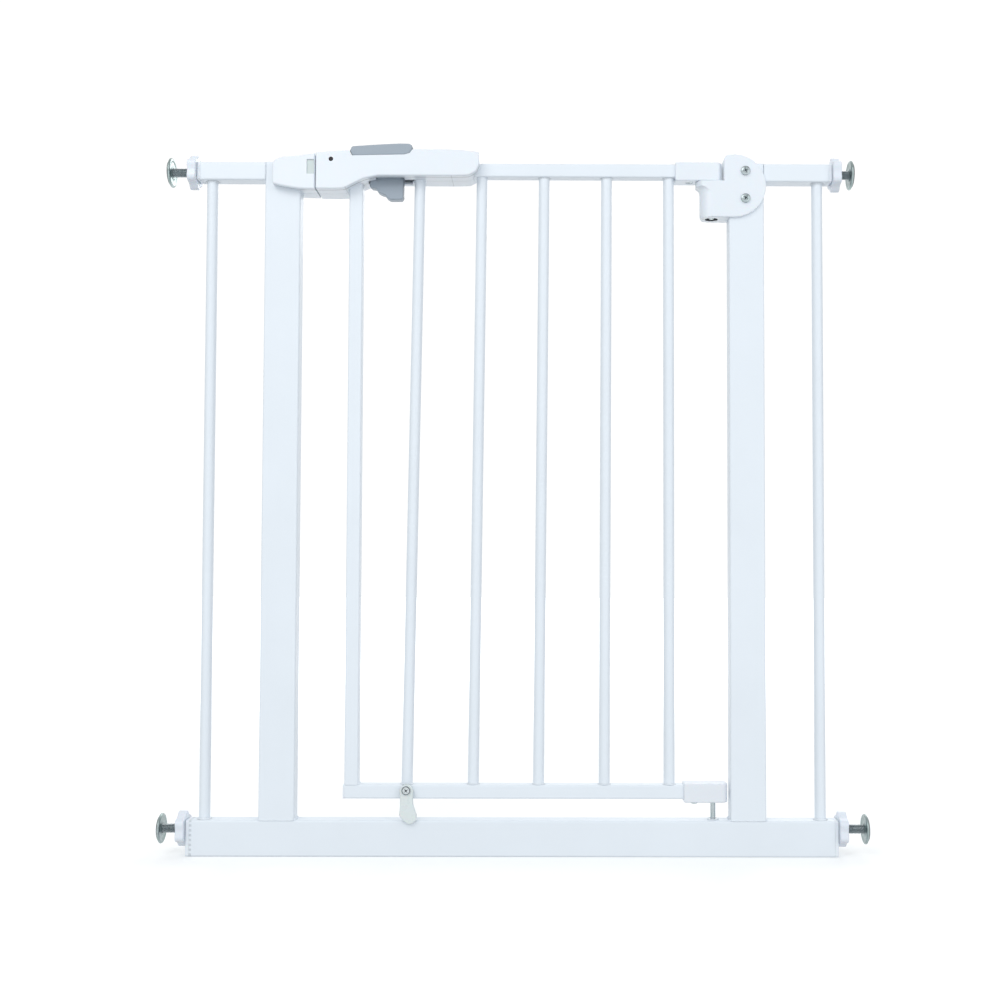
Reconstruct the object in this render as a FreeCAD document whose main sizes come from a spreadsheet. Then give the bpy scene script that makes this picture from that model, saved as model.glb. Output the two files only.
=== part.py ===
import FreeCAD, Part
import Sketcher
import math
import os
from FreeCAD import Vector, Placement, Rotation

# Pressure-mounted safety gate: a welded steel frame that is jammed in a
# doorway by four threaded spindles, with a hinged door of five round bars.
# Frame of reference: origin under the middle of the bottom rail, +X along
# the rail, +Y away from the side the door opens to, +Z up. Millimetres.

os.makedirs("parts", exist_ok=True)
doc = FreeCAD.newDocument("safety_gate")

# ---------------------------------------------------------------- dimensions
DIMS = [
    # welded frame
    ("frame_height", 760.0), ("rail_length", 700.0), ("tube_width", 39.0), ("tube_depth", 20.0),
    ("tube_wall", 1.2), ("tube_round", 2.0), ("post_offset", 256.0), ("outer_bar_offset", 335.8),
    ("bar_dia", 12.0), ("bar_wall", 1.0), ("stub_size", 20.0), ("stub_end", 347.5),
    # end plugs
    ("cap_flange", 4.0), ("plug_flange", 3.5), ("plug_depth", 14.0), ("spindle_hole_dia", 10.18),
    ("low_spindle_z", 28.5), ("top_spindle_z", 750.0),
    # spindles
    ("rod_dia", 10.0), ("rod_length", 86.0), ("disc_dia", 32.5), ("disc_thick", 2.8), ("pad_thick", 1.2), ("pad_dia", 27.0),
    ("disc_socket", 2.0), ("wheel_dia", 39.0), ("wheel_thick", 9.2), ("wheel_bore_dia", 10.16),
    ("wheel_gap", 0.3), ("wheel_recess_dia", 26.0),
    ("pad_tl", 383.6), ("pad_tr", 375.4), ("pad_bl", 384.8), ("pad_br", 387.2),
    # door frame
    ("door_tube", 15.0), ("door_wall", 1.2), ("door_round", 1.8), ("door_low_z", 62.0),
    ("door_left", -183.0), ("door_rail_end", 212.0), ("stile_x", -175.5), ("door_cap_flange", 1.5),
    ("bar_low_1", -115.4), ("bar_low_2", -43.2), ("bar_low_3", 28.0), ("bar_low_4", 99.8), ("bar_low_5", 170.7),
    ("bar_top_1", -105.4), ("bar_top_2", -36.6), ("bar_top_3", 32.5), ("bar_top_4", 101.8), ("bar_top_5", 170.7),
    # hinges
    ("hinge_x", 218.5), ("low_pin_dia", 5.4), ("low_pin_bore", 5.5), ("low_pin_foot", 28.0), ("low_pin_top", 72.0),
    ("top_pin_dia", 6.0), ("top_pin_bore", 6.12), ("top_pin_foot", 700.5), ("top_pin_top", 756.0),
    ("hinge_cap_left", 186.0), ("hinge_cap_right", 233.7), ("hinge_cap_low", 58.5), ("hinge_cap_top", 79.0),
    ("sleeve_left", 177.6), ("sleeve_right", 229.4), ("sleeve_low", 741.0), ("sleeve_top", 761.5),
    ("housing_radius", 35.0), ("housing_x", 242.3), ("housing_z", 734.6), ("housing_depth", 13.4),
    ("housing_left", 231.05), ("block_left", 205.6), ("block_low", 699.9), ("block_top", 740.4),
    ("barrel_radius", 13.4),
    # keeper and handle
    ("keeper_depth", 20.0), ("keeper_right", -219.0), ("handle_left", -218.0), ("handle_right", -38.6),
    ("handle_depth", 22.0), ("shell_wall", 2.4), ("bolt_travel", 9.5), ("button_half_depth", 19.0),
    # stopper
    ("stopper_x", -115.0), ("stopper_z", 72.2), ("stopper_front", 14.6), ("stopper_back", 10.5),
    ("stopper_screw_dia", 4.0), ("stopper_bore", 4.14),
]
sheet = doc.addObject("Spreadsheet::Sheet", "dims")
for row, (alias, value) in enumerate(DIMS, start=1):
    sheet.set("A%d" % row, alias)
    sheet.set("B%d" % row, str(value))
    sheet.setAlias("B%d" % row, alias)
doc.recompute()


class Q:
    """A length that keeps its number and the spreadsheet formula it comes from."""

    def __init__(self, v, e):
        self.v, self.e = float(v), e

    def __add__(self, o):
        return Q(self.v + val(o), "(%s + %s)" % (self.e, txt(o)))

    def __radd__(self, o):
        return Q(val(o) + self.v, "(%s + %s)" % (txt(o), self.e))

    def __sub__(self, o):
        return Q(self.v - val(o), "(%s - %s)" % (self.e, txt(o)))

    def __rsub__(self, o):
        return Q(val(o) - self.v, "(%s - %s)" % (txt(o), self.e))

    def __mul__(self, o):
        return Q(self.v * val(o), "(%s * %s)" % (self.e, txt(o)))

    def __rmul__(self, o):
        return Q(val(o) * self.v, "(%s * %s)" % (txt(o), self.e))

    def __truediv__(self, o):
        return Q(self.v / val(o), "(%s / %s)" % (self.e, txt(o)))

    def __neg__(self):
        return Q(-self.v, "(0 - %s)" % self.e)


def val(x):
    return x.v if isinstance(x, Q) else float(x)


def txt(x):
    return x.e if isinstance(x, Q) else "%.6f" % float(x)


def dim(name):
    return Q(sheet.get(name), "dims.%s" % name)


SUBPARTS = []


# ------------------------------------------------------------ PartDesign kit
def body(label):
    b = doc.addObject("PartDesign::Body", label)
    b.Label = label
    SUBPARTS.append(b)
    return b


def sketch(b, role, off=0.0):
    s = b.newObject("Sketcher::SketchObject", b.Label + "_sketch")
    s.AttachmentSupport = [([f for f in b.Origin.OriginFeatures if f.Role == role][0], "")]
    s.MapMode = "FlatFace"
    s.AttachmentOffset = Placement(Vector(0, 0, val(off)), Rotation())
    if isinstance(off, Q):
        s.setExpression("AttachmentOffset.Base.z", off.e)
    return s


def drive(s, kind, args, q):
    n = s.addConstraint(Sketcher.Constraint(kind, *args, val(q)))
    if isinstance(q, Q):
        s.setExpression("Constraints[%d]" % n, q.e)


def circle(s, x, y, r):
    g = s.addGeometry(Part.Circle(Vector(val(x), val(y), 0), Vector(0, 0, 1), val(r)), False)
    drive(s, "Radius", (g,), r)
    drive(s, "DistanceX", (-1, 1, g, 3), x)
    drive(s, "DistanceY", (-1, 1, g, 3), y)
    return g


def rect(s, x0, y0, x1, y1):
    a, b, c, d = val(x0), val(y0), val(x1), val(y1)
    pts = [Vector(a, b, 0), Vector(c, b, 0), Vector(c, d, 0), Vector(a, d, 0)]
    g = [s.addGeometry(Part.LineSegment(pts[i], pts[(i + 1) % 4]), False) for i in range(4)]
    for i in range(4):
        s.addConstraint(Sketcher.Constraint("Coincident", g[i], 2, g[(i + 1) % 4], 1))
    for i in (0, 2):
        s.addConstraint(Sketcher.Constraint("Horizontal", g[i]))
        s.addConstraint(Sketcher.Constraint("Vertical", g[i + 1]))
    drive(s, "DistanceX", (-1, 1, g[0], 1), x0)
    drive(s, "DistanceY", (-1, 1, g[0], 1), y0)
    drive(s, "DistanceX", (-1, 1, g[1], 2), x1)
    drive(s, "DistanceY", (-1, 1, g[1], 2), y1)
    return g


def round_rect(s, x0, y0, x1, y1, r):
    """Rectangle with four equal corner arcs, fully driven by its sides and its radius."""
    a, b, c, d, q = val(x0), val(y0), val(x1), val(y1), val(r)
    ln = [((a + q, b), (c - q, b)), ((c, b + q), (c, d - q)), ((c - q, d), (a + q, d)), ((a, d - q), (a, b + q))]
    ce = [((c - q, b + q), -90), ((c - q, d - q), 0), ((a + q, d - q), 90), ((a + q, b + q), 180)]
    lines, arcs = [], []
    for i in range(4):
        p0, p1 = ln[i]
        lines.append(s.addGeometry(Part.LineSegment(Vector(p0[0], p0[1], 0), Vector(p1[0], p1[1], 0)), False))
        (cx, cy), a0 = ce[i]
        arcs.append(s.addGeometry(Part.ArcOfCircle(
            Part.Circle(Vector(cx, cy, 0), Vector(0, 0, 1), q),
            math.radians(a0), math.radians(a0 + 90)), False))
    for i in range(4):
        s.addConstraint(Sketcher.Constraint("Tangent", lines[i], 2, arcs[i], 1))
        s.addConstraint(Sketcher.Constraint("Tangent", arcs[i], 2, lines[(i + 1) % 4], 1))
    s.addConstraint(Sketcher.Constraint("Horizontal", lines[0]))
    s.addConstraint(Sketcher.Constraint("Horizontal", lines[2]))
    s.addConstraint(Sketcher.Constraint("Vertical", lines[1]))
    s.addConstraint(Sketcher.Constraint("Vertical", lines[3]))
    for i in (1, 2, 3):
        s.addConstraint(Sketcher.Constraint("Equal", arcs[0], arcs[i]))
    drive(s, "Radius", (arcs[0],), r)
    drive(s, "DistanceY", (-1, 1, lines[0], 1), y0)
    drive(s, "DistanceX", (-1, 1, lines[1], 1), x1)
    drive(s, "DistanceY", (-1, 1, lines[2], 1), y1)
    drive(s, "DistanceX", (-1, 1, lines[3], 1), x0)


def outline(s, pts):
    """Closed outline. pts = (x, y) or (x, y, r), where r rounds that corner with a tangent arc."""
    n = len(pts)
    segs = []
    ends = []
    for i in range(n):
        p = Vector(pts[i][0], pts[i][1], 0)
        a = Vector(pts[i - 1][0], pts[i - 1][1], 0)
        c = Vector(pts[(i + 1) % n][0], pts[(i + 1) % n][1], 0)
        r = pts[i][2] if len(pts[i]) > 2 else 0.0
        u, w = (a - p), (c - p)
        lu, lw = u.Length, w.Length
        u.normalize()
        w.normalize()
        turn = math.acos(max(-1.0, min(1.0, u.dot(w))))
        if r <= 0 or turn > math.pi - 1e-3:
            ends.append((p, p, None))
            continue
        t = r / math.tan(turn / 2)
        t = min(t, 0.48 * lu, 0.48 * lw)
        q0, q1 = p + u * t, p + w * t
        rr = t * math.tan(turn / 2)
        mid_dir = (u + w)
        mid_dir.normalize()
        centre = p + mid_dir * (rr / math.sin(turn / 2))
        ends.append((q0, q1, centre - mid_dir * rr))
    for i in range(n):
        q0, q1, m = ends[i]
        if m is not None:
            segs.append(Part.Arc(q0, m, q1))
        nxt = ends[(i + 1) % n][0]
        if (nxt - q1).Length > 1e-4:
            segs.append(Part.LineSegment(q1, nxt))
    for g in segs:
        k = s.addGeometry(g, False)
        s.addConstraint(Sketcher.Constraint("Block", k))
    return segs


def inset(pts, d):
    """Moves the sides of a closed outline inwards by d. The outline runs clockwise or anticlockwise."""
    area = sum(pts[i][0] * pts[(i + 1) % len(pts)][1] - pts[(i + 1) % len(pts)][0] * pts[i][1] for i in range(len(pts)))
    sg = 1.0 if area > 0 else -1.0
    n = len(pts)
    out = []
    for i in range(n):
        a, p, c = pts[i - 1], pts[i], pts[(i + 1) % n]
        e0 = Vector(p[0] - a[0], p[1] - a[1], 0)
        e1 = Vector(c[0] - p[0], c[1] - p[1], 0)
        e0.normalize()
        e1.normalize()
        n0 = Vector(-e0.y, e0.x, 0) * sg
        n1 = Vector(-e1.y, e1.x, 0) * sg
        b = n0 + n1
        b.normalize()
        k = d / max(0.35, b.dot(n0))
        out.append((p[0] + b.x * k, p[1] + b.y * k) + (tuple([max(0.0, p[2] - d)]) if len(p) > 2 else ()))
    return out


def pad(b, s, length, sym=False, rev=False):
    f = b.newObject("PartDesign::Pad", b.Label + "_pad")
    f.Profile = s
    f.Length = val(length)
    if isinstance(length, Q):
        f.setExpression("Length", length.e)
    if sym:
        f.SideType = "Symmetric"
    f.Reversed = rev
    doc.recompute()
    return f


def pocket(b, s, length, sym=False, rev=False):
    """Cuts and makes sure that something was really removed."""
    before = b.Shape.Volume
    f = b.newObject("PartDesign::Pocket", b.Label + "_pocket")
    f.Profile = s
    f.Length = val(length)
    if isinstance(length, Q):
        f.setExpression("Length", length.e)
    if sym:
        f.SideType = "Symmetric"
    f.Reversed = rev
    doc.recompute()
    if not b.Shape.Volume < before - 1e-6:
        raise RuntimeError("%s: pocket %s removed nothing %s" % (b.Label, f.Name, f.State))
    return f


def dress(b, kind, size, pick):
    """Fillet or Chamfer on the edges that pick(edge) accepts."""
    tip = b.Tip
    names = ["Edge%d" % (i + 1) for i, e in enumerate(tip.Shape.Edges) if pick(e)]
    if not names:
        raise RuntimeError("%s: no edge to dress" % b.Label)
    f = b.newObject("PartDesign::" + kind, b.Label + "_" + kind.lower())
    f.Base = (tip, names)
    if kind == "Fillet":
        f.Radius = size
    else:
        f.Size = size
    doc.recompute()
    if "Invalid" in f.State or "Error" in f.State or f.Shape.isNull() or not f.Shape.isValid():
        print("note: %s %s on %d edges skipped" % (b.Label, kind, len(names)))
        b.removeObject(f)
        doc.removeObject(f.Name)
        b.Tip = tip
        doc.recompute()
        return None
    return f


def on_plane(axis, at, tol=1e-3):
    """Accepts edges that lie in the plane axis = at."""
    k = "xyz".index(axis)

    def pick(e):
        bb = e.BoundBox
        lo = (bb.XMin, bb.YMin, bb.ZMin)[k]
        hi = (bb.XMax, bb.YMax, bb.ZMax)[k]
        return abs(lo - at) < tol and abs(hi - at) < tol
    return pick


def along(axis):
    """Accepts straight edges parallel to an axis."""
    k = "xyz".index(axis)

    def pick(e):
        bb = e.BoundBox
        ext = [bb.XLength, bb.YLength, bb.ZLength]
        return ext[k] > 0.5 and all(ext[j] < 1e-3 for j in range(3) if j != k)
    return pick


def both(*picks):
    return lambda e: all(p(e) for p in picks)


# ------------------------------------------------------------- Part kit
def cyl(label, r, height, pos, axis):
    """Part::Cylinder from pos along axis."""
    c = doc.addObject("Part::Cylinder", label)
    c.Radius = val(r)
    c.Height = val(height)
    if isinstance(r, Q):
        c.setExpression("Radius", r.e)
    if isinstance(height, Q):
        c.setExpression("Height", height.e)
    c.Placement = Placement(Vector(*pos), Rotation(Vector(0, 0, 1), Vector(*axis)))
    return c


def fuse(label, objs):
    f = doc.addObject("Part::MultiFuse", label)
    f.Shapes = objs
    f.Label = label
    return f


def cut(label, base, tool):
    f = doc.addObject("Part::Cut", label)
    f.Base = base
    f.Tool = tool
    f.Label = label
    return f


def group(label, objs):
    f = doc.addObject("Part::Compound", label)
    f.Links = objs
    f.Label = label
    SUBPARTS.append(f)
    return f


def revolved(label, profile, pos, axis):
    """Part::Feature turned from (radius, height) points about axis through pos."""
    pts = [Vector(r, 0, h) for r, h in profile]
    shape = Part.Face(Part.makePolygon(pts + [pts[0]])).revolve(Vector(0, 0, 0), Vector(0, 0, 1), 360)
    if not isinstance(shape, Part.Solid) and shape.Solids:
        shape = shape.Solids[0]
    f = doc.addObject("Part::Feature", label)
    f.Label = label
    f.Shape = shape
    f.Placement = Placement(Vector(*pos), Rotation(Vector(0, 0, 1), Vector(*axis)))
    SUBPARTS.append(f)
    return f


def spring_profile(inner, outer, length, pitch):
    """Closed-wound spring as a scalloped sleeve: a wavy outside and a plain bore."""
    n = max(3, int(round(length / pitch)))
    step = length / n
    pts = [(inner, 0.0), (outer - 0.5, 0.0)]
    for i in range(n):
        pts.append((outer, (i + 0.5) * step))
        pts.append((outer - 0.5, (i + 1) * step))
    pts.append((inner, length))
    return pts


def pan_screw(label, x, y, z, axis, head_r, head_h, shank_r, shank_l):
    """Pan-head screw: head from (x, y, z) outwards, shank the other way."""
    ax = Vector(*axis)
    head = cyl(label + "_head", head_r, head_h, (x, y, z), axis)
    shank = cyl(label + "_shank", shank_r, shank_l + 0.5, tuple(Vector(x, y, z) - ax * shank_l), axis)
    f = fuse(label + "_solid", [head, shank])
    rnd = doc.addObject("Part::Chamfer", label + "_round")
    rnd.Base = f
    doc.recompute()
    top = Vector(x, y, z) + ax * head_h
    edges = []
    for i, e in enumerate(f.Shape.Edges):
        if e.Curve.TypeId == "Part::GeomCircle" and abs(e.Curve.Radius - head_r) < 1e-4 and (e.Curve.Center - top).Length < 1e-4:
            edges.append((i + 1, head_h * 0.35, head_h * 0.35))
    rnd.Edges = edges
    return rnd


# =============================================================== welded frame
H = dim("frame_height")
TW = dim("tube_width")
TD = dim("tube_depth")
WALL = dim("tube_wall")
RND = dim("tube_round")
POST = dim("post_offset")
OUT = dim("outer_bar_offset")
HX = dim("hinge_x")
half_t = TD / 2

rail = body("bottom_rail")
s = sketch(rail, "YZ_Plane")
round_rect(s, -half_t, 0, half_t, TW, RND)
round_rect(s, -half_t + WALL, WALL, half_t - WALL, TW - WALL, RND - WALL)
pad(rail, s, dim("rail_length"), sym=True)
s = sketch(rail, "XY_Plane", TW)
circle(s, HX, 0, 4.5)
pocket(rail, s, 4.0)


def post(label, side):
    b = body(label)
    cx = POST * side
    s = sketch(b, "XY_Plane", TW)
    round_rect(s, cx - TW / 2, -half_t, cx + TW / 2, half_t, RND)
    round_rect(s, cx - TW / 2 + WALL, -half_t + WALL, cx + TW / 2 - WALL, half_t - WALL, RND - WALL)
    pad(b, s, H - TW)
    s = sketch(b, "XY_Plane", H - WALL)
    rect(s, cx - TW / 2 + WALL / 2, -half_t + WALL / 2, cx + TW / 2 - WALL / 2, half_t - WALL / 2)
    pad(b, s, WALL)
    return b


left_post = post("left_post", -1)
s = sketch(left_post, "XZ_Plane")
for kx, kz in ((-250.0, 738.0), (-250.0, 753.0)):
    circle(s, kx, kz, 1.9)
pocket(left_post, s, 60, sym=True)

right_post = post("right_post", 1)
s = sketch(right_post, "XZ_Plane")
for kx, kz in ((254.5, 751.0), (254.5, 720.4)):
    circle(s, kx, kz, 2.0)
pocket(right_post, s, 60, sym=True)

for label, side in (("left_outer_bar", -1), ("right_outer_bar", 1)):
    b = body(label)
    s = sketch(b, "XY_Plane", TW)
    circle(s, OUT * side, 0, dim("bar_dia") / 2)
    circle(s, OUT * side, 0, dim("bar_dia") / 2 - dim("bar_wall"))
    pad(b, s, H - dim("stub_size") - TW)

for label, side in (("top_rail_left", -1), ("top_rail_right", 1)):
    b = body(label)
    inner = POST + TW / 2
    s = sketch(b, "YZ_Plane", inner * side)
    sz = dim("stub_size")
    round_rect(s, -half_t, H - sz, half_t, H, RND)
    round_rect(s, -half_t + WALL, H - sz + WALL, half_t - WALL, H - WALL, RND - WALL)
    pad(b, s, dim("stub_end") - inner, rev=(side < 0))

# end caps: a flange over the tube end, a plug inside it, a hole for the spindle
for label, side, end, z0, z1, zc, fl in (
        ("rail_end_cap_left", -1, dim("rail_length") / 2, Q(0, "0"), TW, dim("low_spindle_z"), dim("cap_flange")),
        ("rail_end_cap_right", 1, dim("rail_length") / 2, Q(0, "0"), TW, dim("low_spindle_z"), dim("cap_flange")),
        ("stub_end_plug_left", -1, dim("stub_end"), H - dim("stub_size"), H, dim("top_spindle_z"), dim("plug_flange")),
        ("stub_end_plug_right", 1, dim("stub_end"), H - dim("stub_size"), H, dim("top_spindle_z"), dim("plug_flange"))):
    b = body(label)
    s = sketch(b, "YZ_Plane", end * side)
    round_rect(s, -half_t, z0, half_t, z1, RND)
    pad(b, s, fl, rev=(side < 0))
    dress(b, "Fillet", 0.8, on_plane("x", (val(end) + val(fl)) * side))
    s = sketch(b, "YZ_Plane", end * side)
    round_rect(s, -half_t + WALL + 0.15, z0 + WALL + 0.15, half_t - WALL - 0.15, z1 - WALL - 0.15, RND - WALL)
    pad(b, s, dim("plug_depth"), rev=(side > 0))
    s = sketch(b, "YZ_Plane", (end + fl) * side)
    circle(s, 0, zc, dim("spindle_hole_dia") / 2)
    pocket(b, s, 40, rev=(side < 0))

# ============================================================ wall spindles
CORNERS = {
    "top_left": (-1, dim("pad_tl"), dim("top_spindle_z"), dim("stub_end") + dim("plug_flange")),
    "top_right": (1, dim("pad_tr"), dim("top_spindle_z"), dim("stub_end") + dim("plug_flange")),
    "bottom_left": (-1, dim("pad_bl"), dim("low_spindle_z"), dim("rail_length") / 2 + dim("cap_flange")),
    "bottom_right": (1, dim("pad_br"), dim("low_spindle_z"), dim("rail_length") / 2 + dim("cap_flange")),
}
for corner, (side, px, zc, tube_end) in CORNERS.items():
    out = side > 0
    # threaded rod, riveted into the wall disc
    b = body("spindle_" + corner)
    disc_in = px - dim("pad_thick") - dim("disc_thick")
    tip = disc_in + dim("disc_socket")
    s = sketch(b, "YZ_Plane", tip * side)
    circle(s, 0, zc, dim("rod_dia") / 2)
    pad(b, s, dim("rod_length"), rev=out)
    dress(b, "Chamfer", 0.8, on_plane("x", (val(tip) - sheet.get("rod_length")) * side))
    # pressed steel wall disc
    b = body("wall_disc_" + corner)
    s = sketch(b, "YZ_Plane", disc_in * side)
    circle(s, 0, zc, dim("disc_dia") / 2)
    pad(b, s, dim("disc_thick"), rev=not out)
    dress(b, "Fillet", 1.1, both(on_plane("x", val(disc_in) * side), lambda e: e.BoundBox.ZLength > 30))
    dress(b, "Fillet", 1.4, both(on_plane("x", (val(disc_in) + sheet.get("disc_thick")) * side), lambda e: e.BoundBox.ZLength > 30))
    s = sketch(b, "YZ_Plane", disc_in * side)
    circle(s, 0, zc, dim("rod_dia") / 2)
    pocket(b, s, dim("disc_socket"), rev=out)
    # thin non-slip pad that presses on the wall
    b = body("wall_pad_" + corner)
    s = sketch(b, "YZ_Plane", px * side)
    circle(s, 0, zc, dim("pad_dia") / 2)
    pad(b, s, dim("pad_thick"), rev=out)
    dress(b, "Chamfer", 0.4, on_plane("x", val(px) * side))
    # hand wheel, the nut of the spindle: six lobes with finger hollows between them, a dished outer face
    b = body("hand_wheel_" + corner)
    near = tube_end + dim("wheel_gap")
    far = near + dim("wheel_thick")
    s = sketch(b, "YZ_Plane", near * side)
    lobes = []
    for i in range(12):
        a = math.radians(30.0 * i)
        r, rnd = (sheet.get("wheel_dia") / 2 - 3.6, 9.0) if i % 2 == 0 else (sheet.get("wheel_dia") / 2 + 1.6, 6.0)
        lobes.append((r * math.cos(a), val(zc) + r * math.sin(a), rnd))
    outline(s, lobes)
    pad(b, s, dim("wheel_thick"), rev=not out)
    dress(b, "Fillet", 1.0, lambda e: on_plane("x", val(far) * side)(e) or on_plane("x", val(near) * side)(e))
    s = sketch(b, "YZ_Plane", far * side)
    circle(s, 0, zc, dim("wheel_recess_dia") / 2)
    circle(s, 0, zc, dim("rod_dia") / 2 + 3.5)
    pocket(b, s, 3.0, rev=not out)
    s = sketch(b, "YZ_Plane", near * side)
    circle(s, 0, zc, dim("wheel_bore_dia") / 2)
    pocket(b, s, 30, rev=out)

# ==================================================================== keeper
KD = dim("keeper_depth")
K_OUT = [(-219.0, 727.2, 0.6), (-219.0, 767.2, 0.8), (-235.5, 765.0, 8), (-255.5, 763.2, 6), (-262.5, 760.5, 4), (-266.0, 756.0, 3),
         (-266.0, 733.4, 2.5), (-257.5, 731.2, 6), (-246.0, 729.0, 8), (-235.0, 727.6, 6)]
for label, front in (("keeper_front", True), ("keeper_rear", False)):
    b = body(label)
    s = sketch(b, "XZ_Plane")
    outline(s, K_OUT)
    pad(b, s, KD, rev=not front)
    dress(b, "Fillet", 2.0, both(on_plane("y", -20.0 if front else 20.0), lambda e: e.BoundBox.XMax < -219.5 or e.BoundBox.XLength > 0.01))
    # seat of the post, open at the left
    s = sketch(b, "XZ_Plane")
    rect(s, -300.0, 700.0, -POST + TW / 2, H)
    pocket(b, s, half_t, rev=front)
    # pocket for the latch bolt, open at the right
    s = sketch(b, "XZ_Plane")
    rect(s, dim("keeper_right") - 9.8, 743.5, dim("keeper_right") + 5.0, 758.0)
    pocket(b, s, 8.5, rev=front)
    if front:
        s = sketch(b, "XZ_Plane", KD)
        rect(s, dim("keeper_right") - 9.0, 744.0, dim("keeper_right") - 1.0, 760.0)
        pocket(b, s, 1.2)
        s = sketch(b, "XZ_Plane")
        for kz in (738.0, 753.0):
            circle(s, -250.0, kz, 1.9)
        pocket(b, s, 15, rev=True)
    else:
        s = sketch(b, "XZ_Plane")
        for kz in (738.0, 753.0):
            circle(s, -250.0, kz, 1.9)
        pocket(b, s, 40)
        s = sketch(b, "XZ_Plane", -KD)
        for kz in (738.0, 753.0):
            circle(s, -250.0, kz, 3.9)
        pocket(b, s, 2.4, rev=True)
group("keeper_screws", [pan_screw("keeper_screw_%d" % i, -250.0, 17.6, kz, (0, 1, 0), 3.6, 2.2, 1.9, 32.0)
                        for i, kz in enumerate((738.0, 753.0))])

# ============================================================ hinge housing
HR = sheet.get("housing_radius")
hx, hz = sheet.get("housing_x"), sheet.get("housing_z")
HL = sheet.get("housing_left")
BL, BB, BT = sheet.get("block_left"), sheet.get("block_low"), sheet.get("block_top")


def housing_outline(s):
    """Round plate over the post with a square barrel block at its lower left."""
    rt, rb, rg = 6.0, 4.0, 8.0
    tx = HL + rt
    tz = hz + math.sqrt((HR - rt) ** 2 - (hx - tx) ** 2)
    k = HR / (HR - rt)
    top0, top1 = Vector(HL, tz, 0), Vector(hx + (tx - hx) * k, hz + (tz - hz) * k, 0)
    d = Vector(-1, 0, 0) + Vector(tx - hx, tz - hz, 0) / (HR - rt)
    d.normalize()
    low = Vector(hx, hz - HR, 0)
    mid = Vector(hx + HR, hz, 0)
    c45 = math.cos(math.radians(45))
    g = math.radians(65)
    gus0, gus1 = Vector(BL, BT - 13.0, 0), Vector(BL - rg + rg * math.cos(g), BT - 13.0 + rg * math.sin(g), 0)
    gusm = Vector(BL - rg + rg * math.cos(g / 2), BT - 13.0 + rg * math.sin(g / 2), 0)
    b0, b1 = Vector(BL + rb, BB, 0), Vector(BL, BB + rb, 0)
    flare = Vector(gus1.x, BT, 0)
    segs = [Part.LineSegment(low, b0), Part.Arc(b0, Vector(BL + rb - rb * c45, BB + rb - rb * c45, 0), b1),
            Part.LineSegment(b1, gus0), Part.Arc(gus0, gusm, gus1), Part.LineSegment(gus1, flare),
            Part.LineSegment(flare, Vector(HL, BT, 0)), Part.LineSegment(Vector(HL, BT, 0), top0),
            Part.Arc(top0, Vector(tx + d.x * rt, tz + d.y * rt, 0), top1), Part.Arc(top1, mid, low)]
    for geo in segs:
        s.addConstraint(Sketcher.Constraint("Block", s.addGeometry(geo, False)))


def round_barrel(b, front):
    """Turns the left half of the block to a barrel about the hinge axis, with a flared collar at the top."""
    s = sketch(b, "XZ_Plane")
    s.AttachmentOffset = FreeCAD.Placement(Vector(val(HX), 0, 0), FreeCAD.Rotation())
    s.setExpression("AttachmentOffset.Base.x", txt(HX))
    r = sheet.get("barrel_radius")
    rg, g, out = 8.0, math.radians(65), 30.0
    z1 = BT - 13.0
    c, h = -r - rg, math.radians(32.5)
    flare = Vector(c + rg * math.cos(g), z1 + rg * math.sin(g), 0)
    pts = [Vector(-r, BB - 1.0, 0), Vector(-r, z1, 0), flare, Vector(flare.x, BT + 1.0, 0), Vector(-out, BT + 1.0, 0), Vector(-out, BB - 1.0, 0)]
    segs = [Part.LineSegment(pts[0], pts[1]), Part.Arc(pts[1], Vector(c + rg * math.cos(h), z1 + rg * math.sin(h), 0), pts[2])]
    segs += [Part.LineSegment(pts[i], pts[(i + 1) % 6]) for i in range(2, 6)]
    for geo in segs:
        s.addConstraint(Sketcher.Constraint("Block", s.addGeometry(geo, False)))
    f = b.newObject("PartDesign::Groove", b.Label + "_barrel")
    f.Profile = s
    f.ReferenceAxis = (s, ["V_Axis"])
    f.Angle = 90.0
    f.Reversed = not front
    doc.recompute()
    if not f.isValid() or f.Shape.Volume >= f.BaseFeature.Shape.Volume - 1.0:
        raise ValueError("the barrel groove removed nothing from " + b.Label)


for label, front in (("hinge_housing_front", True), ("hinge_housing_rear", False)):
    b = body(label)
    depth = dim("housing_depth")
    s = sketch(b, "XZ_Plane")
    housing_outline(s)
    pad(b, s, depth, rev=not front)
    dress(b, "Fillet", 1.2, on_plane("y", -13.4 if front else 13.4))
    # seat of the post and of the top rail stub
    s = sketch(b, "XZ_Plane")
    rect(s, POST - TW / 2, 600.0, POST + TW / 2 + 30.0, H)
    pocket(b, s, half_t, rev=front)
    # barrel: running bores above and below, a round cavity for the spring, an open foot
    for z_hi, depth_z, rad in ((dim("block_top"), 50.0, dim("top_pin_bore") / 2), (Q(733.0, "733"), 22.5, 7.6), (Q(706.5, "706.5"), 12.0, 7.2)):
        s = sketch(b, "XY_Plane", z_hi)
        circle(s, HX, 0, rad)
        pocket(b, s, depth_z)
    s = sketch(b, "XZ_Plane")
    for kz in (751.0, 720.4):
        circle(s, 254.5, kz, 2.0)
    pocket(b, s, 60, sym=True) if front else pocket(b, s, 12.0)
    round_barrel(b, front)
group("hinge_housing_screws", [pan_screw("housing_screw_%d" % i, 254.5, -13.4, kz, (0, -1, 0), 5.0, 2.8, 2.0, 25.0)
                               for i, kz in enumerate((751.0, 720.4))])
revolved("hinge_spring", spring_profile(3.5, 6.9, 21.0, 1.5), (sheet.get("hinge_x"), 0, 711.2), (0, 0, 1))

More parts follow.
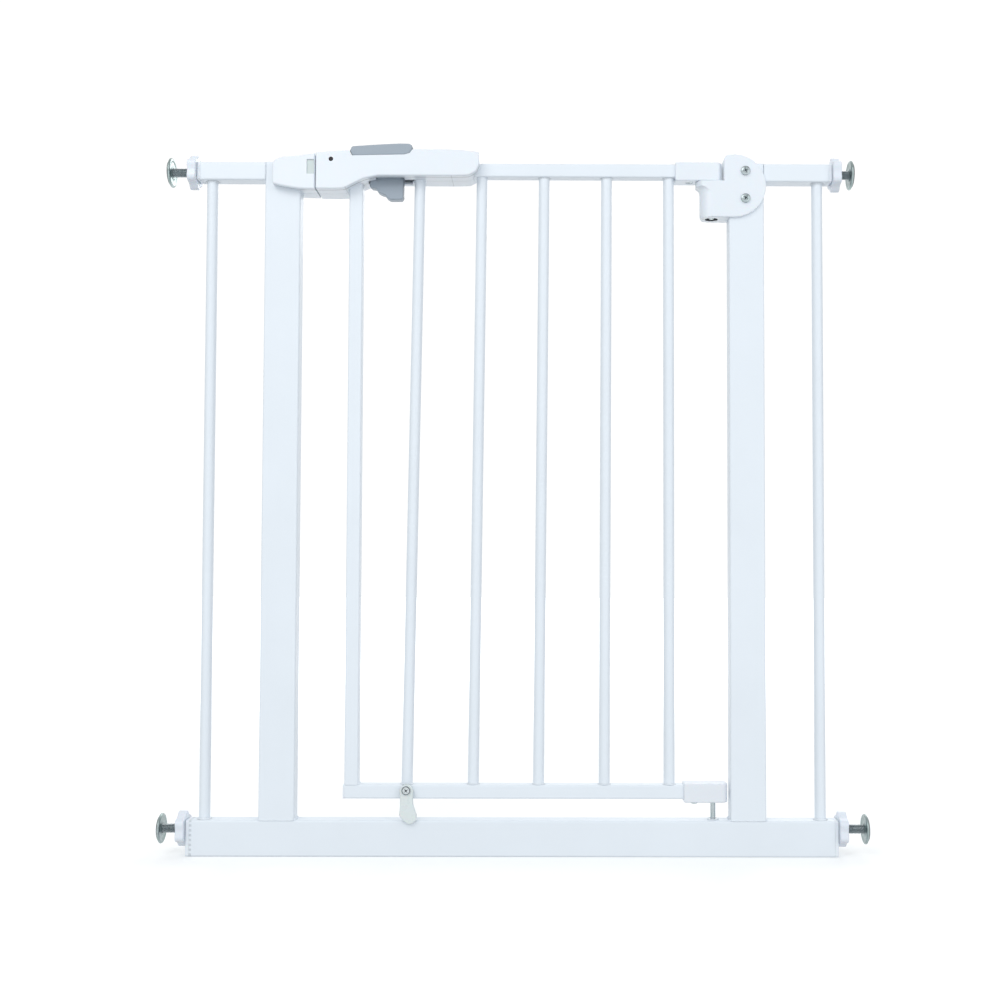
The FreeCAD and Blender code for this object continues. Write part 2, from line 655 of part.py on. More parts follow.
bush = body("lower_hinge_bush")
s = sketch(bush, "XY_Plane", TW)
circle(s, HX, 0, 6.5)
pad(bush, s, 1.0)
s = sketch(bush, "XY_Plane", TW)
circle(s, HX, 0, 4.5)
pad(bush, s, 9.0, rev=True)
s = sketch(bush, "XY_Plane", TW + 1.0)
circle(s, HX, 0, dim("low_pin_bore") / 2)
pocket(bush, s, 20.0)

# ====================================================================== door
DT = dim("door_tube")
DW = dim("door_wall")
DR = dim("door_round")
DL = dim("door_left")
LOW = dim("door_low_z")
hd = DT / 2
for label, z0 in (("door_top_rail", H - DT), ("door_bottom_rail", LOW)):
    b = body(label)
    s = sketch(b, "YZ_Plane", DL)
    round_rect(s, -hd, z0, hd, z0 + DT, DR)
    round_rect(s, -hd + DW, z0 + DW, hd - DW, z0 + DT - DW, DR - DW)
    pad(b, s, dim("door_rail_end") - DL)
    if label == "door_bottom_rail":
        s = sketch(b, "XZ_Plane")
        circle(s, dim("stopper_x"), dim("stopper_z"), 2.0)
        pocket(b, s, 12.0, rev=True)
        s = sketch(b, "XY_Plane", LOW)
        circle(s, 198.0, 0, 1.6)
        pocket(b, s, 3.0, rev=True)
    else:
        s = sketch(b, "XY_Plane", H - DT)
        circle(s, 193.6, 0, 1.6)
        pocket(b, s, 3.0, rev=True)

b = body("door_stile")
s = sketch(b, "XY_Plane", LOW + DT)
sx = dim("stile_x")
round_rect(s, sx - hd, -hd, sx + hd, hd, DR)
round_rect(s, sx - hd + DW, -hd + DW, sx + hd - DW, hd - DW, DR - DW)
pad(b, s, H - DT - (LOW + DT))

for i in range(1, 6):
    b = body("door_bar_%d" % i)
    lo, hi = dim("bar_low_%d" % i), dim("bar_top_%d" % i)
    s = sketch(b, "XY_Plane", LOW + DT)
    circle(s, lo, 0, dim("bar_dia") / 2)
    circle(s, lo, 0, dim("bar_dia") / 2 - dim("bar_wall"))
    rise = H - DT - (LOW + DT)
    f = pad(b, s, rise)
    f.UseCustomVector = True
    f.AlongSketchNormal = True
    f.Direction = Vector(val(hi) - val(lo), 0, val(rise))
    doc.recompute()

b = body("door_rail_end_cap")
s = sketch(b, "YZ_Plane", DL)
round_rect(s, -hd, LOW, hd, LOW + DT, DR)
pad(b, s, dim("door_cap_flange"), rev=True)
dress(b, "Fillet", 0.6, on_plane("x", -184.5))
s = sketch(b, "YZ_Plane", DL)
round_rect(s, -hd + DW + 0.1, LOW + DW + 0.1, hd - DW - 0.1, LOW + DT - DW - 0.1, DR - DW)
pad(b, s, 10.0)

# lower hinge cap: closed over the rail end, rounded about the pin so that it clears the post
b = body("bottom_hinge_cap")
cl, cr, cz0, cz1 = dim("hinge_cap_left"), dim("hinge_cap_right"), dim("hinge_cap_low"), dim("hinge_cap_top")
s = sketch(b, "XY_Plane", cz0)
outline(s, [(val(cl), -10.0, 1.0), (val(cr), -10.0, 7.0), (val(cr), 10.0, 7.0), (val(cl), 10.0, 1.0)])
pad(b, s, cz1 - cz0)
dress(b, "Fillet", 1.4, lambda e: on_plane("z", 58.5)(e) or on_plane("z", 79.0)(e))
s = sketch(b, "YZ_Plane", cl - 1.0)
round_rect(s, -hd, LOW, hd, LOW + DT, DR)
pocket(b, s, dim("door_rail_end") - cl + 1.0, rev=True)
s = sketch(b, "XY_Plane", cz0)
circle(s, HX, 0, dim("low_pin_dia") / 2)
pocket(b, s, dim("low_pin_top") - cz0, rev=True)
s = sketch(b, "XY_Plane", cz0)
circle(s, 198.0, 0, 1.6)
pocket(b, s, 4.5, rev=True)

b = body("bottom_hinge_pin")
s = sketch(b, "XY_Plane", dim("low_pin_foot"))
circle(s, HX, 0, dim("low_pin_dia") / 2)
pad(b, s, dim("low_pin_top") - dim("low_pin_foot"))
dress(b, "Chamfer", 0.6, on_plane("z", 28.0))

# upper hinge sleeve: half-round end about the pin
b = body("top_hinge_sleeve")
sl, sr, sz0, sz1 = dim("sleeve_left"), dim("sleeve_right"), dim("sleeve_low"), dim("sleeve_top")
s = sketch(b, "XY_Plane", sz0)
outline(s, [(val(sl), -10.2, 1.0), (val(sr), -10.2, 7.0), (val(sr), 10.2, 7.0), (val(sl), 10.2, 1.0)])
pad(b, s, sz1 - sz0)
dress(b, "Fillet", 1.2, lambda e: on_plane("z", 741.0)(e) or on_plane("z", 761.5)(e))
s = sketch(b, "YZ_Plane", sl - 1.0)
round_rect(s, -hd, H - DT, hd, H, DR)
pocket(b, s, dim("door_rail_end") - sl + 1.0, rev=True)
s = sketch(b, "XY_Plane", sz0)
circle(s, HX, 0, dim("top_pin_dia") / 2)
pocket(b, s, dim("top_pin_top") - sz0, rev=True)
s = sketch(b, "XY_Plane", sz0)
circle(s, 193.6, 0, 4.0)
pocket(b, s, 2.0, rev=True)
s = sketch(b, "XY_Plane", sz0)
circle(s, 193.6, 0, 1.6)
pocket(b, s, 6.0, rev=True)

b = body("top_hinge_pin")
s = sketch(b, "XY_Plane", dim("top_pin_foot"))
circle(s, HX, 0, dim("top_pin_dia") / 2)
pad(b, s, dim("top_pin_top") - dim("top_pin_foot"))
dress(b, "Chamfer", 0.7, on_plane("z", 700.5))

group("hinge_cap_screws", [
    pan_screw("cap_screw_low", 198.0, 0.0, 58.5, (0, 0, -1), 3.9, 2.6, 1.6, 9.0),
    pan_screw("cap_screw_top", 193.6, 0.0, 743.0, (0, 0, -1), 3.8, 2.0, 1.6, 9.0)])

# ==================================================================== handle
HD = dim("handle_depth")
SW = dim("shell_wall")
HANDLE = [(-218.0, 727.2, 1.2), (-218.0, 767.4, 1.5), (-204.5, 768.4, 12), (-184.8, 770.0, 20), (-109.3, 771.2, 40), (-76.4, 771.3, 30),
          (-60.0, 770.6, 20), (-47.0, 769.6, 10), (-39.2, 768.4, 2.2), (-38.6, 755.5, 8), (-42.4, 746.8, 8), (-50.5, 742.4, 8),
          (-62.0, 742.0, 12), (-150.0, 742.0, 20), (-165.0, 738.8, 22), (-178.0, 732.6, 22), (-187.0, 727.6, 12), (-200.0, 727.2, 12)]
FLOOR = 742.0
BUTTON = [(-178.6, 764.4, 1.2), (-181.3, 770.0, 1.6), (-178.9, 775.2, 2.0), (-159.0, 776.7, 30), (-137.0, 778.0, 30), (-126.0, 778.5, 10),
          (-116.0, 778.3, 3), (-113.2, 776.6, 1.6), (-111.6, 772.6, 0.8), (-115.4, 767.4, 1.0), (-121.0, 765.6, 12)]
BOSSES = [(-206.0, 733.8), (-99.0, 765.4), (-52.5, 764.4)]
for label, front in (("handle_front_shell", True), ("handle_rear_shell", False)):
    sg = -1.0 if front else 1.0
    b = body(label)
    s = sketch(b, "XZ_Plane")
    outline(s, HANDLE)
    pad(b, s, HD, rev=not front)
    dress(b, "Fillet", 1.6, on_plane("y", 22.0 * sg))
    s = sketch(b, "XZ_Plane")
    outline(s, inset([p[:2] for p in HANDLE], sheet.get("shell_wall")))
    pocket(b, s, HD - SW, rev=front)
    # screw bosses and the stop behind the latch spring
    s = sketch(b, "XZ_Plane")
    for bx, bz in BOSSES:
        circle(s, bx, bz, 3.1)
    pad(b, s, HD - SW + 0.6, rev=not front)
    if front:
        s = sketch(b, "XZ_Plane", 8.2)
        rect(s, -97.0, 743.0, -94.0, 758.5)
        pad(b, s, HD - SW + 0.6 - 8.2)
    else:
        s = sketch(b, "XZ_Plane", -13.0)
        rect(s, -151.0, 743.0, -142.0, 746.0)
        pad(b, s, HD - SW + 0.6 - 13.0, rev=True)
    # top rail leaves at the right
    s = sketch(b, "XZ_Plane")
    rect(s, -60.0, H - DT, -30.0, H)
    pocket(b, s, hd, rev=front)
    # stile leaves at the bottom
    s = sketch(b, "XZ_Plane")
    rect(s, sx - hd, 720.0, sx + hd, H - DT + 1.0)
    pocket(b, s, hd, rev=front)
    # first bar leaves at the bottom
    s = sketch(b, "XY_Plane", H - DT)
    circle(s, -105.45, 0, 6.15)
    pocket(b, s, 8.0)
    # slot of the trigger
    s = sketch(b, "XZ_Plane")
    rect(s, -162.2, 725.0, -111.4, 745.6)
    pocket(b, s, 6.9, rev=front)
    s = sketch(b, "XZ_Plane")
    rect(s, -153.4, 725.0, -114.6, 745.6)
    pocket(b, s, 13.2, rev=front)
    # mouth of the latch bolt
    s = sketch(b, "XZ_Plane")
    rect(s, -225.0, 745.8, -213.0, 756.2)
    pocket(b, s, 7.3, rev=front)
    # notch of the thumb button
    s = sketch(b, "XZ_Plane")
    rect(s, -182.0, 764.2, -111.1, 790.0)
    pocket(b, s, HD - SW, rev=front)
    # the same notch through the face, drawn close round the button
    s = sketch(b, "XZ_Plane", 18.0 if front else -18.0)
    outline(s, [(-181.9, 790.0), (-181.9, 769.9), (-179.0, 763.9), (-121.0, 765.1), (-114.9, 766.9), (-111.1, 772.4), (-111.1, 790.0)])
    pocket(b, s, 10.0, rev=front)
    if front:
        s = sketch(b, "XZ_Plane")
        circle(s, -201.3, 759.9, 2.5)
        pocket(b, s, 30.0, rev=True)
        s = sketch(b, "XZ_Plane")
        for bx, bz in BOSSES:
            circle(s, bx, bz, 1.4)
        pocket(b, s, 17.0, rev=True)
    else:
        s = sketch(b, "XZ_Plane")
        for bx, bz in BOSSES:
            circle(s, bx, bz, 1.4)
        pocket(b, s, 30.0)
        s = sketch(b, "XZ_Plane", -HD)
        for bx, bz in BOSSES:
            circle(s, bx, bz, 2.9)
        pocket(b, s, 3.0, rev=True)
group("handle_screws", [pan_screw("handle_screw_%d" % i, bx, 19.0, bz, (0, 1, 0), 2.6, 2.0, 1.4, 34.0)
                        for i, (bx, bz) in enumerate(BOSSES)])
revolved("lock_indicator", [(0.0, 0.0), (4.2, 0.0), (4.2, 1.2), (2.4, 1.2), (2.4, 2.6), (2.0, 2.9), (0.0, 3.0)],
         (-201.3, -18.35, 759.9), (0, -1, 0))

# ---------------------------------------------------- trigger and latch bolt
b = body("trigger")
TRIG = [(-160.8, 745.0, 0.6), (-161.0, 734.9, 2.0), (-158.4, 732.7, 2.0), (-153.8, 732.1, 2.0), (-151.2, 727.9, 4.0), (-147.4, 725.9, 3.0),
        (-144.0, 725.1, 2.0), (-141.4, 721.5, 3.0), (-138.2, 719.7, 1.2), (-125.2, 719.7, 1.6), (-123.4, 722.7, 3.0), (-123.1, 745.0, 0.6)]
s = sketch(b, "XZ_Plane")
outline(s, [(x, min(z, 744.6), r) for x, z, r in TRIG])
pad(b, s, 11.6, sym=True)
dress(b, "Fillet", 1.3, lambda e: (on_plane("y", -5.8)(e) or on_plane("y", 5.8)(e)) and e.BoundBox.ZMax < 744.0)
# bridge under the rail, and the two cheeks that rise beside it
s = sketch(b, "XZ_Plane")
rect(s, -152.0, 742.3, -126.0, 744.6)
pad(b, s, 24.0, sym=True)
for sg in (-1, 1):
    s = sketch(b, "XZ_Plane", -8.4 * sg)
    rect(s, -150.0, 742.3, -128.0, 755.3)
    pad(b, s, 3.6, rev=(sg > 0))
s = sketch(b, "XZ_Plane", 12.0)
rect(s, -132.0, 747.5, -128.0, 755.3)
pad(b, s, 2.0)

b = body("latch_bolt")
for sg in (-1, 1):
    s = sketch(b, "XZ_Plane", -8.4 * sg)
    rect(s, -196.0, 747.2, -150.0, 755.0)
    pad(b, s, 3.0, rev=(sg > 0))
    if sg < 0:
        s = sketch(b, "XZ_Plane")
        rect(s, -212.0, 746.4, -193.6, 755.6)
        pad(b, s, 22.8, sym=True)
s = sketch(b, "XZ_Plane")
outline(s, [(-211.0, 746.4), (-211.0, 755.6), (-223.5, 755.6), (-226.5, 752.6), (-226.5, 749.4), (-223.5, 746.4)])
pad(b, s, 14.0, sym=True)

revolved("latch_spring", spring_profile(1.5, 2.35, 30.8, 1.4), (-127.9, -10.9, 751.3), (1, 0, 0))

b = body("thumb_button")
s = sketch(b, "XZ_Plane")
outline(s, BUTTON)
pad(b, s, dim("button_half_depth") * 2, sym=True)
dress(b, "Fillet", 1.5, lambda e: (on_plane("y", -19.0)(e) or on_plane("y", 19.0)(e)) and e.BoundBox.ZMax > 765.0)
for sg in (-1, 1):
    s = sketch(b, "XZ_Plane", -8.6 * sg)
    rect(s, -176.0, 760.0, -117.5, 766.0)
    pad(b, s, 10.0, rev=(sg > 0))
revolved("button_spring", spring_profile(1.7, 2.7, 13.8, 1.4), (-146.5, 15.8, 746.1), (0, 0, 1))

# ------------------------------------------------------------------- stopper
b = body("stopper")
px0, pz0 = sheet.get("stopper_x"), sheet.get("stopper_z")
STOP = [(-107.6, 66.0, 10), (-107.4, 57.0, 20), (-105.4, 50.6, 12), (-103.2, 45.0, 6), (-104.4, 39.6, 4), (-108.4, 36.2, 4), (-113.2, 36.0, 4),
        (-118.0, 39.6, 6), (-122.6, 45.2, 4), (-121.6, 54.0, 20), (-121.6, 66.0, 10), (-122.7, 71.5, 5), (-120.0, 76.6, 5), (-115.0, 78.5, 6),
        (-110.0, 76.6, 5), (-107.3, 71.5, 5)]
s = sketch(b, "XZ_Plane", dim("stopper_back"))
outline(s, STOP)
pad(b, s, dim("stopper_front") - dim("stopper_back"))
dress(b, "Fillet", 1.2, on_plane("y", -14.6))
s = sketch(b, "XZ_Plane", 7.6)
circle(s, dim("stopper_x"), dim("stopper_z"), 6.3)
pad(b, s, dim("stopper_back") - 7.6 + 0.5)
s = sketch(b, "XZ_Plane", dim("stopper_front"))
circle(s, dim("stopper_x"), dim("stopper_z"), dim("stopper_bore") / 2)
pocket(b, s, 20.0)
group("stopper_screw", [pan_screw("stopper_screw_one", px0, -14.72, pz0, (0, -1, 0), 4.6, 2.4, 2.0, 16.0)])

# ============================================================ check, write
doc.recompute()
bad = []
for o in doc.Objects:
    if "Invalid" in o.State or "Error" in o.State:
        bad.append("%s state %s" % (o.Name, o.State))
for o in SUBPARTS:
    if o.Shape.isNull() or not o.Shape.isValid() or o.Shape.Volume <= 0 or not o.Shape.Solids:
        bad.append("%s shape" % o.Label)
if bad:
    raise RuntimeError("; ".join(bad))
for o in SUBPARTS:
    o.Shape.exportStep("parts/%s.step" % o.Label)
    bb = o.Shape.BoundBox
    print("%-24s %d  x %.1f..%.1f  y %.1f..%.1f  z %.1f..%.1f  vol %.0f" % (
        o.Label, len(o.Shape.Solids), bb.XMin, bb.XMax, bb.YMin, bb.YMax, bb.ZMin, bb.ZMax, o.Shape.Volume))
print(len(SUBPARTS), "sub-parts")
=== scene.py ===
import math

import bmesh
import bpy
from mathutils import Matrix, Vector


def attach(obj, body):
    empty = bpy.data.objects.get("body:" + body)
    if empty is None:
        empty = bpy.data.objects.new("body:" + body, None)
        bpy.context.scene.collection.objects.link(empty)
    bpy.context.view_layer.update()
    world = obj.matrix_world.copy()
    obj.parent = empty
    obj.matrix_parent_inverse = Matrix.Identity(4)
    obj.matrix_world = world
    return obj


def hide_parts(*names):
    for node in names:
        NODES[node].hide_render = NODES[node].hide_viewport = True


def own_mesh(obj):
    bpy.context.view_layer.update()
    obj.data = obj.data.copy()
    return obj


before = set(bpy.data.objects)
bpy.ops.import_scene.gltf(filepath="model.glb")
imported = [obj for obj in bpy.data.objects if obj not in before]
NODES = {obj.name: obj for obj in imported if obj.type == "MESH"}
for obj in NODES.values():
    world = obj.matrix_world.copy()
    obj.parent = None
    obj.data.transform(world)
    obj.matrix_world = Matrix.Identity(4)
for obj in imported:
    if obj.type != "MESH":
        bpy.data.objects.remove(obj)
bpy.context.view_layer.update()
MM = 0.001
COLL = bpy.context.scene.collection


# =============================================================== node helpers
class Mat:
    """A small wrapper to write node trees in a few lines. Object coordinates, in metres."""

    def __init__(self, name):
        self.m = bpy.data.materials.new(name)
        self.m.use_nodes = True
        self.t = self.m.node_tree
        self.t.nodes.clear()
        self.out = self.t.nodes.new("ShaderNodeOutputMaterial")
        self.b = self.t.nodes.new("ShaderNodeBsdfPrincipled")
        self.t.links.new(self.b.outputs[0], self.out.inputs[0])
        self.tc = self.t.nodes.new("ShaderNodeTexCoord")
        self.height = None

    def obj(self):
        return self.tc.outputs["Object"]

    def link(self, a, b):
        self.t.links.new(a, b)

    def set(self, **kw):
        names = {"rough": "Roughness", "metal": "Metallic", "ior": "IOR", "coat": "Coat Weight", "coat_rough": "Coat Roughness",
                 "sheen": "Sheen Weight", "spec": "Specular IOR Level", "aniso": "Anisotropic", "sss": "Subsurface Weight",
                 "sss_scale": "Subsurface Scale"}
        for k, v in kw.items():
            self.b.inputs[names[k]].default_value = v
        return self

    def noise(self, scale, detail=2.0, rough=0.5, vec=None, stretch=None):
        n = self.t.nodes.new("ShaderNodeTexNoise")
        n.inputs["Scale"].default_value = scale
        n.inputs["Detail"].default_value = detail
        n.inputs["Roughness"].default_value = rough
        v = vec or self.obj()
        if stretch:
            mp = self.t.nodes.new("ShaderNodeMapping")
            mp.inputs["Scale"].default_value = stretch
            self.link(v, mp.inputs["Vector"])
            v = mp.outputs[0]
        self.link(v, n.inputs["Vector"])
        return n.outputs[0]

    def voronoi(self, scale, stretch=None, feature="F1"):
        n = self.t.nodes.new("ShaderNodeTexVoronoi")
        n.feature = feature
        n.inputs["Scale"].default_value = scale
        v = self.obj()
        if stretch:
            mp = self.t.nodes.new("ShaderNodeMapping")
            mp.inputs["Scale"].default_value = stretch
            self.link(v, mp.inputs["Vector"])
            v = mp.outputs[0]
        self.link(v, n.inputs["Vector"])
        return n.outputs["Distance"]

    def ramp(self, fac, stops):
        n = self.t.nodes.new("ShaderNodeValToRGB")
        els = n.color_ramp.elements
        while len(els) < len(stops):
            els.new(0.5)
        for e, (p, c) in zip(els, stops):
            e.position = p
            e.color = (c, c, c, 1) if isinstance(c, (int, float)) else (*c, 1)
        self.link(fac, n.inputs[0])
        return n.outputs[0]

    def math(self, op, a, b=0.0, c=0.0, clamp=False):
        n = self.t.nodes.new("ShaderNodeMath")
        n.operation = op
        n.use_clamp = clamp
        for i, v in enumerate((a, b, c)):
            if isinstance(v, (int, float)):
                n.inputs[i].default_value = v
            else:
                self.link(v, n.inputs[i])
        return n.outputs[0]

    def xyz(self):
        n = self.t.nodes.new("ShaderNodeSeparateXYZ")
        self.link(self.obj(), n.inputs[0])
        return n.outputs[0], n.outputs[1], n.outputs[2]

    def mix(self, fac, a, b, blend="MIX"):
        n = self.t.nodes.new("ShaderNodeMix")
        n.data_type = "RGBA"
        n.blend_type = blend
        for sock, v in ((n.inputs[0], fac), (n.inputs[6], a), (n.inputs[7], b)):
            if isinstance(v, (int, float)):
                sock.default_value = v
            elif isinstance(v, tuple):
                sock.default_value = (*v, 1)
            else:
                self.link(v, sock)
        return n.outputs[2]

    def band(self, v, lo, hi, soft):
        """1 where lo < v < hi, with soft shoulders."""
        up = self.math("DIVIDE", self.math("SUBTRACT", v, lo), soft, clamp=True)
        dn = self.math("DIVIDE", self.math("SUBTRACT", hi, v), soft, clamp=True)
        return self.math("MULTIPLY", up, dn)

    def edge(self, radius=0.0006, lo=0.02, hi=0.35):
        """1 on sharp convex and concave edges, from the difference of the rounded and the plain normal."""
        bv = self.t.nodes.new("ShaderNodeBevel")
        bv.samples = 3
        bv.inputs["Radius"].default_value = radius
        geo = self.t.nodes.new("ShaderNodeNewGeometry")
        d = self.t.nodes.new("ShaderNodeVectorMath")
        d.operation = "DOT_PRODUCT"
        self.link(bv.outputs[0], d.inputs[0])
        self.link(geo.outputs["Normal"], d.inputs[1])
        one = self.math("SUBTRACT", 1.0, d.outputs["Value"], clamp=True)
        return self.math("DIVIDE", self.math("SUBTRACT", one, lo), hi - lo, clamp=True), bv

    def colour(self, sock):
        self.link(sock, self.b.inputs["Base Color"])
        return self

    def rough(self, sock):
        self.link(sock, self.b.inputs["Roughness"])
        return self

    def bump(self, layers, normal=None):
        """layers = [(height socket, distance in metres, strength)]"""
        last = normal
        for h, dist, strength in layers:
            n = self.t.nodes.new("ShaderNodeBump")
            n.inputs["Distance"].default_value = dist
            n.inputs["Strength"].default_value = strength
            self.link(h, n.inputs["Height"])
            if last is not None:
                self.link(last, n.inputs["Normal"])
            last = n.outputs[0]
        self.link(last, self.b.inputs["Normal"])
        return self


def scaled(c, k):
    return tuple(x * k for x in c)


PAINT = (0.748, 0.806, 0.872)
PLAST = (0.758, 0.810, 0.872)


def powder_coat(name, serrate=None, base=PAINT, serrate_left=False):
    """White powder coat on steel: orange peel, slight drift in tone, darker along edges and creases (thinner coat on
    the edges, painted shade in the creases), a few specks.
    """
    m = Mat(name)
    big = m.noise(9.0, 3.0, 0.6)
    mid = m.noise(140.0, 3.0, 0.55)
    tone = m.mix(m.ramp(big, [(0.30, 0.0), (0.70, 1.0)]), scaled(base, 0.982), tuple(min(1, c * 1.012) for c in base))
    speck = m.ramp(m.voronoi(260.0), [(0.0, 1.0), (0.035, 0.0)])
    speck = m.math("MULTIPLY", speck, m.ramp(m.noise(23.0, 1.0), [(0.60, 0.0), (0.66, 1.0)]))
    tone = m.mix(m.math("MULTIPLY", speck, 0.22), tone, (0.52, 0.55, 0.58))
    e, bv = m.edge(0.0007)
    # Edges and creases darkened: thinner coat on the edges, painted shade in the concave creases.
    tone = m.mix(m.math("MULTIPLY", e, 0.16), tone, (0.66, 0.70, 0.75))
    if serrate:
        x, y, z = m.xyz()
        ax = m.math("MULTIPLY", x, -1.0) if serrate_left else m.math("ABSOLUTE", x)
        inband = m.band(ax, serrate[0], serrate[1], 0.0004)
        teeth = m.math("MULTIPLY", m.band(m.math("PINGPONG", m.math("ADD", z, y), serrate[2]), serrate[2] * 0.45, serrate[2] * 2, 0.0003), inband)
        teeth = m.math("MULTIPLY", teeth, m.band(z, -1.0, serrate[3], 0.0006))
        # The serration grooves are darkened as painted shade, on top of the groove bump added below.
        tone = m.mix(m.math("MULTIPLY", teeth, serrate[4]), tone, (0.42, 0.46, 0.50))
    m.colour(tone)
    m.rough(m.ramp(mid, [(0.25, 0.36), (0.75, 0.50)]))
    peel = m.noise(620.0, 2.0, 0.45)
    fine = m.noise(1900.0, 2.0, 0.5)
    layers = [(peel, 0.00014, 0.22), (fine, 0.00005, 0.18)]
    if serrate:
        layers.append((m.math("SUBTRACT", 1.0, teeth), 0.0005, 0.6))
    m.bump(layers, bv.outputs[0])
    m.set(spec=0.5, ior=1.5, coat=0.10, coat_rough=0.18)
    return m.m


def moulded(name, base=PLAST, rough=(0.28, 0.40), grain=0.10, seam_y=False, ribs=None, flow=0.012, sss=0.04, lip=None, tint=None, rings=None, shade_marks=None, bore=None, rim=0.14):
    """Injection moulded plastic: fine spark-erosion grain, faint flow lines, a parting line where asked. Painted shade
    darkens the edges and, where asked, the parting line, a groove, a recess, a bore and listed spots.
    """
    m = Mat(name)
    big = m.noise(16.0, 3.0, 0.55, stretch=(0.35, 1.0, 1.0))
    tone = m.mix(m.ramp(big, [(0.28, 0.0), (0.72, 1.0)]), scaled(base, 1.0 - flow), tuple(min(1, c * (1 + flow * 0.7)) for c in base))
    e, bv = m.edge(0.0006)
    # Edges darkened as painted shade; a rim weight of 0.3 or more darkens them further.
    tone = m.mix(m.math("MULTIPLY", e, rim), tone, scaled(base, 0.78 if rim < 0.3 else 0.50))
    x, y, z = m.xyz()
    layers = []
    if seam_y:
        # The parting line is darkened as painted shade in its groove, and bumped in as a groove.
        seam = m.band(m.math("ABSOLUTE", y), -1.0, 0.00024, 0.00012)
        tone = m.mix(m.math("MULTIPLY", seam, 0.60), tone, scaled(base, 0.34))
        layers.append((m.math("SUBTRACT", 1.0, seam), 0.0004, 0.8))
    if lip:
        # A groove line at y = -lip, darkened as painted shade and bumped in.
        gro = m.band(m.math("MULTIPLY", y, -1.0), lip - 0.00080, lip + 0.00080, 0.0002)
        tone = m.mix(m.math("MULTIPLY", gro, 0.80), tone, scaled(base, 0.26))
        layers.append((m.math("SUBTRACT", 1.0, gro), 0.0004, 0.7))
    if tint:
        # The given box, the floor of a recess, is tinted grey-green as painted shade.
        (x0, x1), (z0, z1), (y0, y1), col = tint
        recess_shade = m.math("MULTIPLY", m.math("MULTIPLY", m.band(x, x0, x1, 0.0003), m.band(z, z0, z1, 0.0003)), m.band(y, y0, y1, 0.0002))
        tone = m.mix(m.math("MULTIPLY", recess_shade, 0.75), tone, col)
    # Listed spots darkened as painted shade: notches and slots, the shadowed button ends, the trigger's side facet and
    # tip.
    for (mx0, mx1, mz0, mz1) in (shade_marks or ()):
        shade_spot = m.math("MULTIPLY", m.band(x, mx0, mx1, 0.0003), m.band(z, mz0, mz1, 0.0004))
        tone = m.mix(m.math("MULTIPLY", shade_spot, 0.55), tone, scaled(base, 0.30))
    if bore:
        # The inside of the spring bore is darkened as painted shade.
        cx, br, zt = bore
        dx = m.math("SUBTRACT", x, cx)
        rad = m.math("SQRT", m.math("ADD", m.math("MULTIPLY", dx, dx), m.math("MULTIPLY", y, y)))
        bore_shade = m.math("MULTIPLY", m.band(rad, -1.0, br, 0.0003), m.band(z, 0.7000, zt, 0.0004))
        tone = m.mix(m.math("MULTIPLY", bore_shade, 0.93), tone, (0.035, 0.040, 0.046))
    if rings:
        (cx, cz), stops = rings
        dx, dz = m.math("SUBTRACT", x, cx), m.math("SUBTRACT", z, cz)
        rad = m.math("SQRT", m.math("ADD", m.math("MULTIPLY", dx, dx), m.math("MULTIPLY", dz, dz)))
        for r0, r1, col in stops:
            tone = m.mix(m.band(rad, r0, r1, 0.00025), tone, col)
    if ribs:
        axis, pitch, depth = ribs
        v = {"x": x, "y": y, "z": z}[axis]
        wave = m.math("SINE", m.math("MULTIPLY", v, 2 * math.pi / pitch))
        layers.append((wave, depth, 0.7))
    m.colour(tone)
    m.rough(m.ramp(m.noise(90.0, 3.0, 0.6), [(0.25, rough[0]), (0.75, rough[1])]))
    layers += [(m.noise(1500.0, 3.0, 0.6), 0.00006, grain * 2.0), (m.noise(300.0, 2.0, 0.5), 0.00008, grain)]
    m.bump(layers, bv.outputs[0])
    m.set(ior=1.49, spec=0.5)
    if sss:
        m.set(sss=sss, sss_scale=0.002)
    return m.m


def zinc(name, base=(0.66, 0.70, 0.71), tint=(0.60, 0.68, 0.66), rough=(0.20, 0.36), turned=None, dark=0.0, rings=None):
    """Bright zinc plate on steel: spangle-like tone, faint blue-green passivation, dulled in the hollows, edges
    lightened as a painted highlight, listed rings painted flat.
    """
    m = Mat(name)
    a = m.noise(60.0, 4.0, 0.6)
    tone = m.mix(m.ramp(a, [(0.35, 0.0), (0.65, 1.0)]), base, tint)
    stain = m.ramp(m.noise(170.0, 3.0, 0.65), [(0.50, 0.0), (0.72, 1.0)])
    tone = m.mix(m.math("MULTIPLY", stain, 0.35), tone, scaled(base, 0.62))
    e, bv = m.edge(0.0004)
    # Edges lightened as a painted highlight.
    tone = m.mix(m.math("MULTIPLY", e, 0.30), tone, (0.86, 0.88, 0.88))
    if dark:
        tone = m.mix(dark, tone, (0.10, 0.12, 0.13))
    # Rings round a centre are painted in a flat colour; the screws use them as painted shade.
    if rings:
        x, y, z = m.xyz()
        for (cx, cz), stops in rings:
            dx, dz = m.math("SUBTRACT", x, cx), m.math("SUBTRACT", z, cz)
            rad = m.math("SQRT", m.math("ADD", m.math("MULTIPLY", dx, dx), m.math("MULTIPLY", dz, dz)))
            for r0, r1, col in stops:
                tone = m.mix(m.band(rad, r0, r1, 0.0003), tone, col)
    m.colour(tone)
    m.rough(m.ramp(m.noise(230.0, 3.0, 0.6), [(0.25, rough[0]), (0.75, rough[1])]))
    m.bump([(m.noise(900.0, 3.0, 0.6), 0.00005, 0.25), (m.noise(2600.0, 2.0, 0.5), 0.00002, 0.25)], bv.outputs[0])
    m.set(metal=1.0, aniso=0.25)
    return m.m


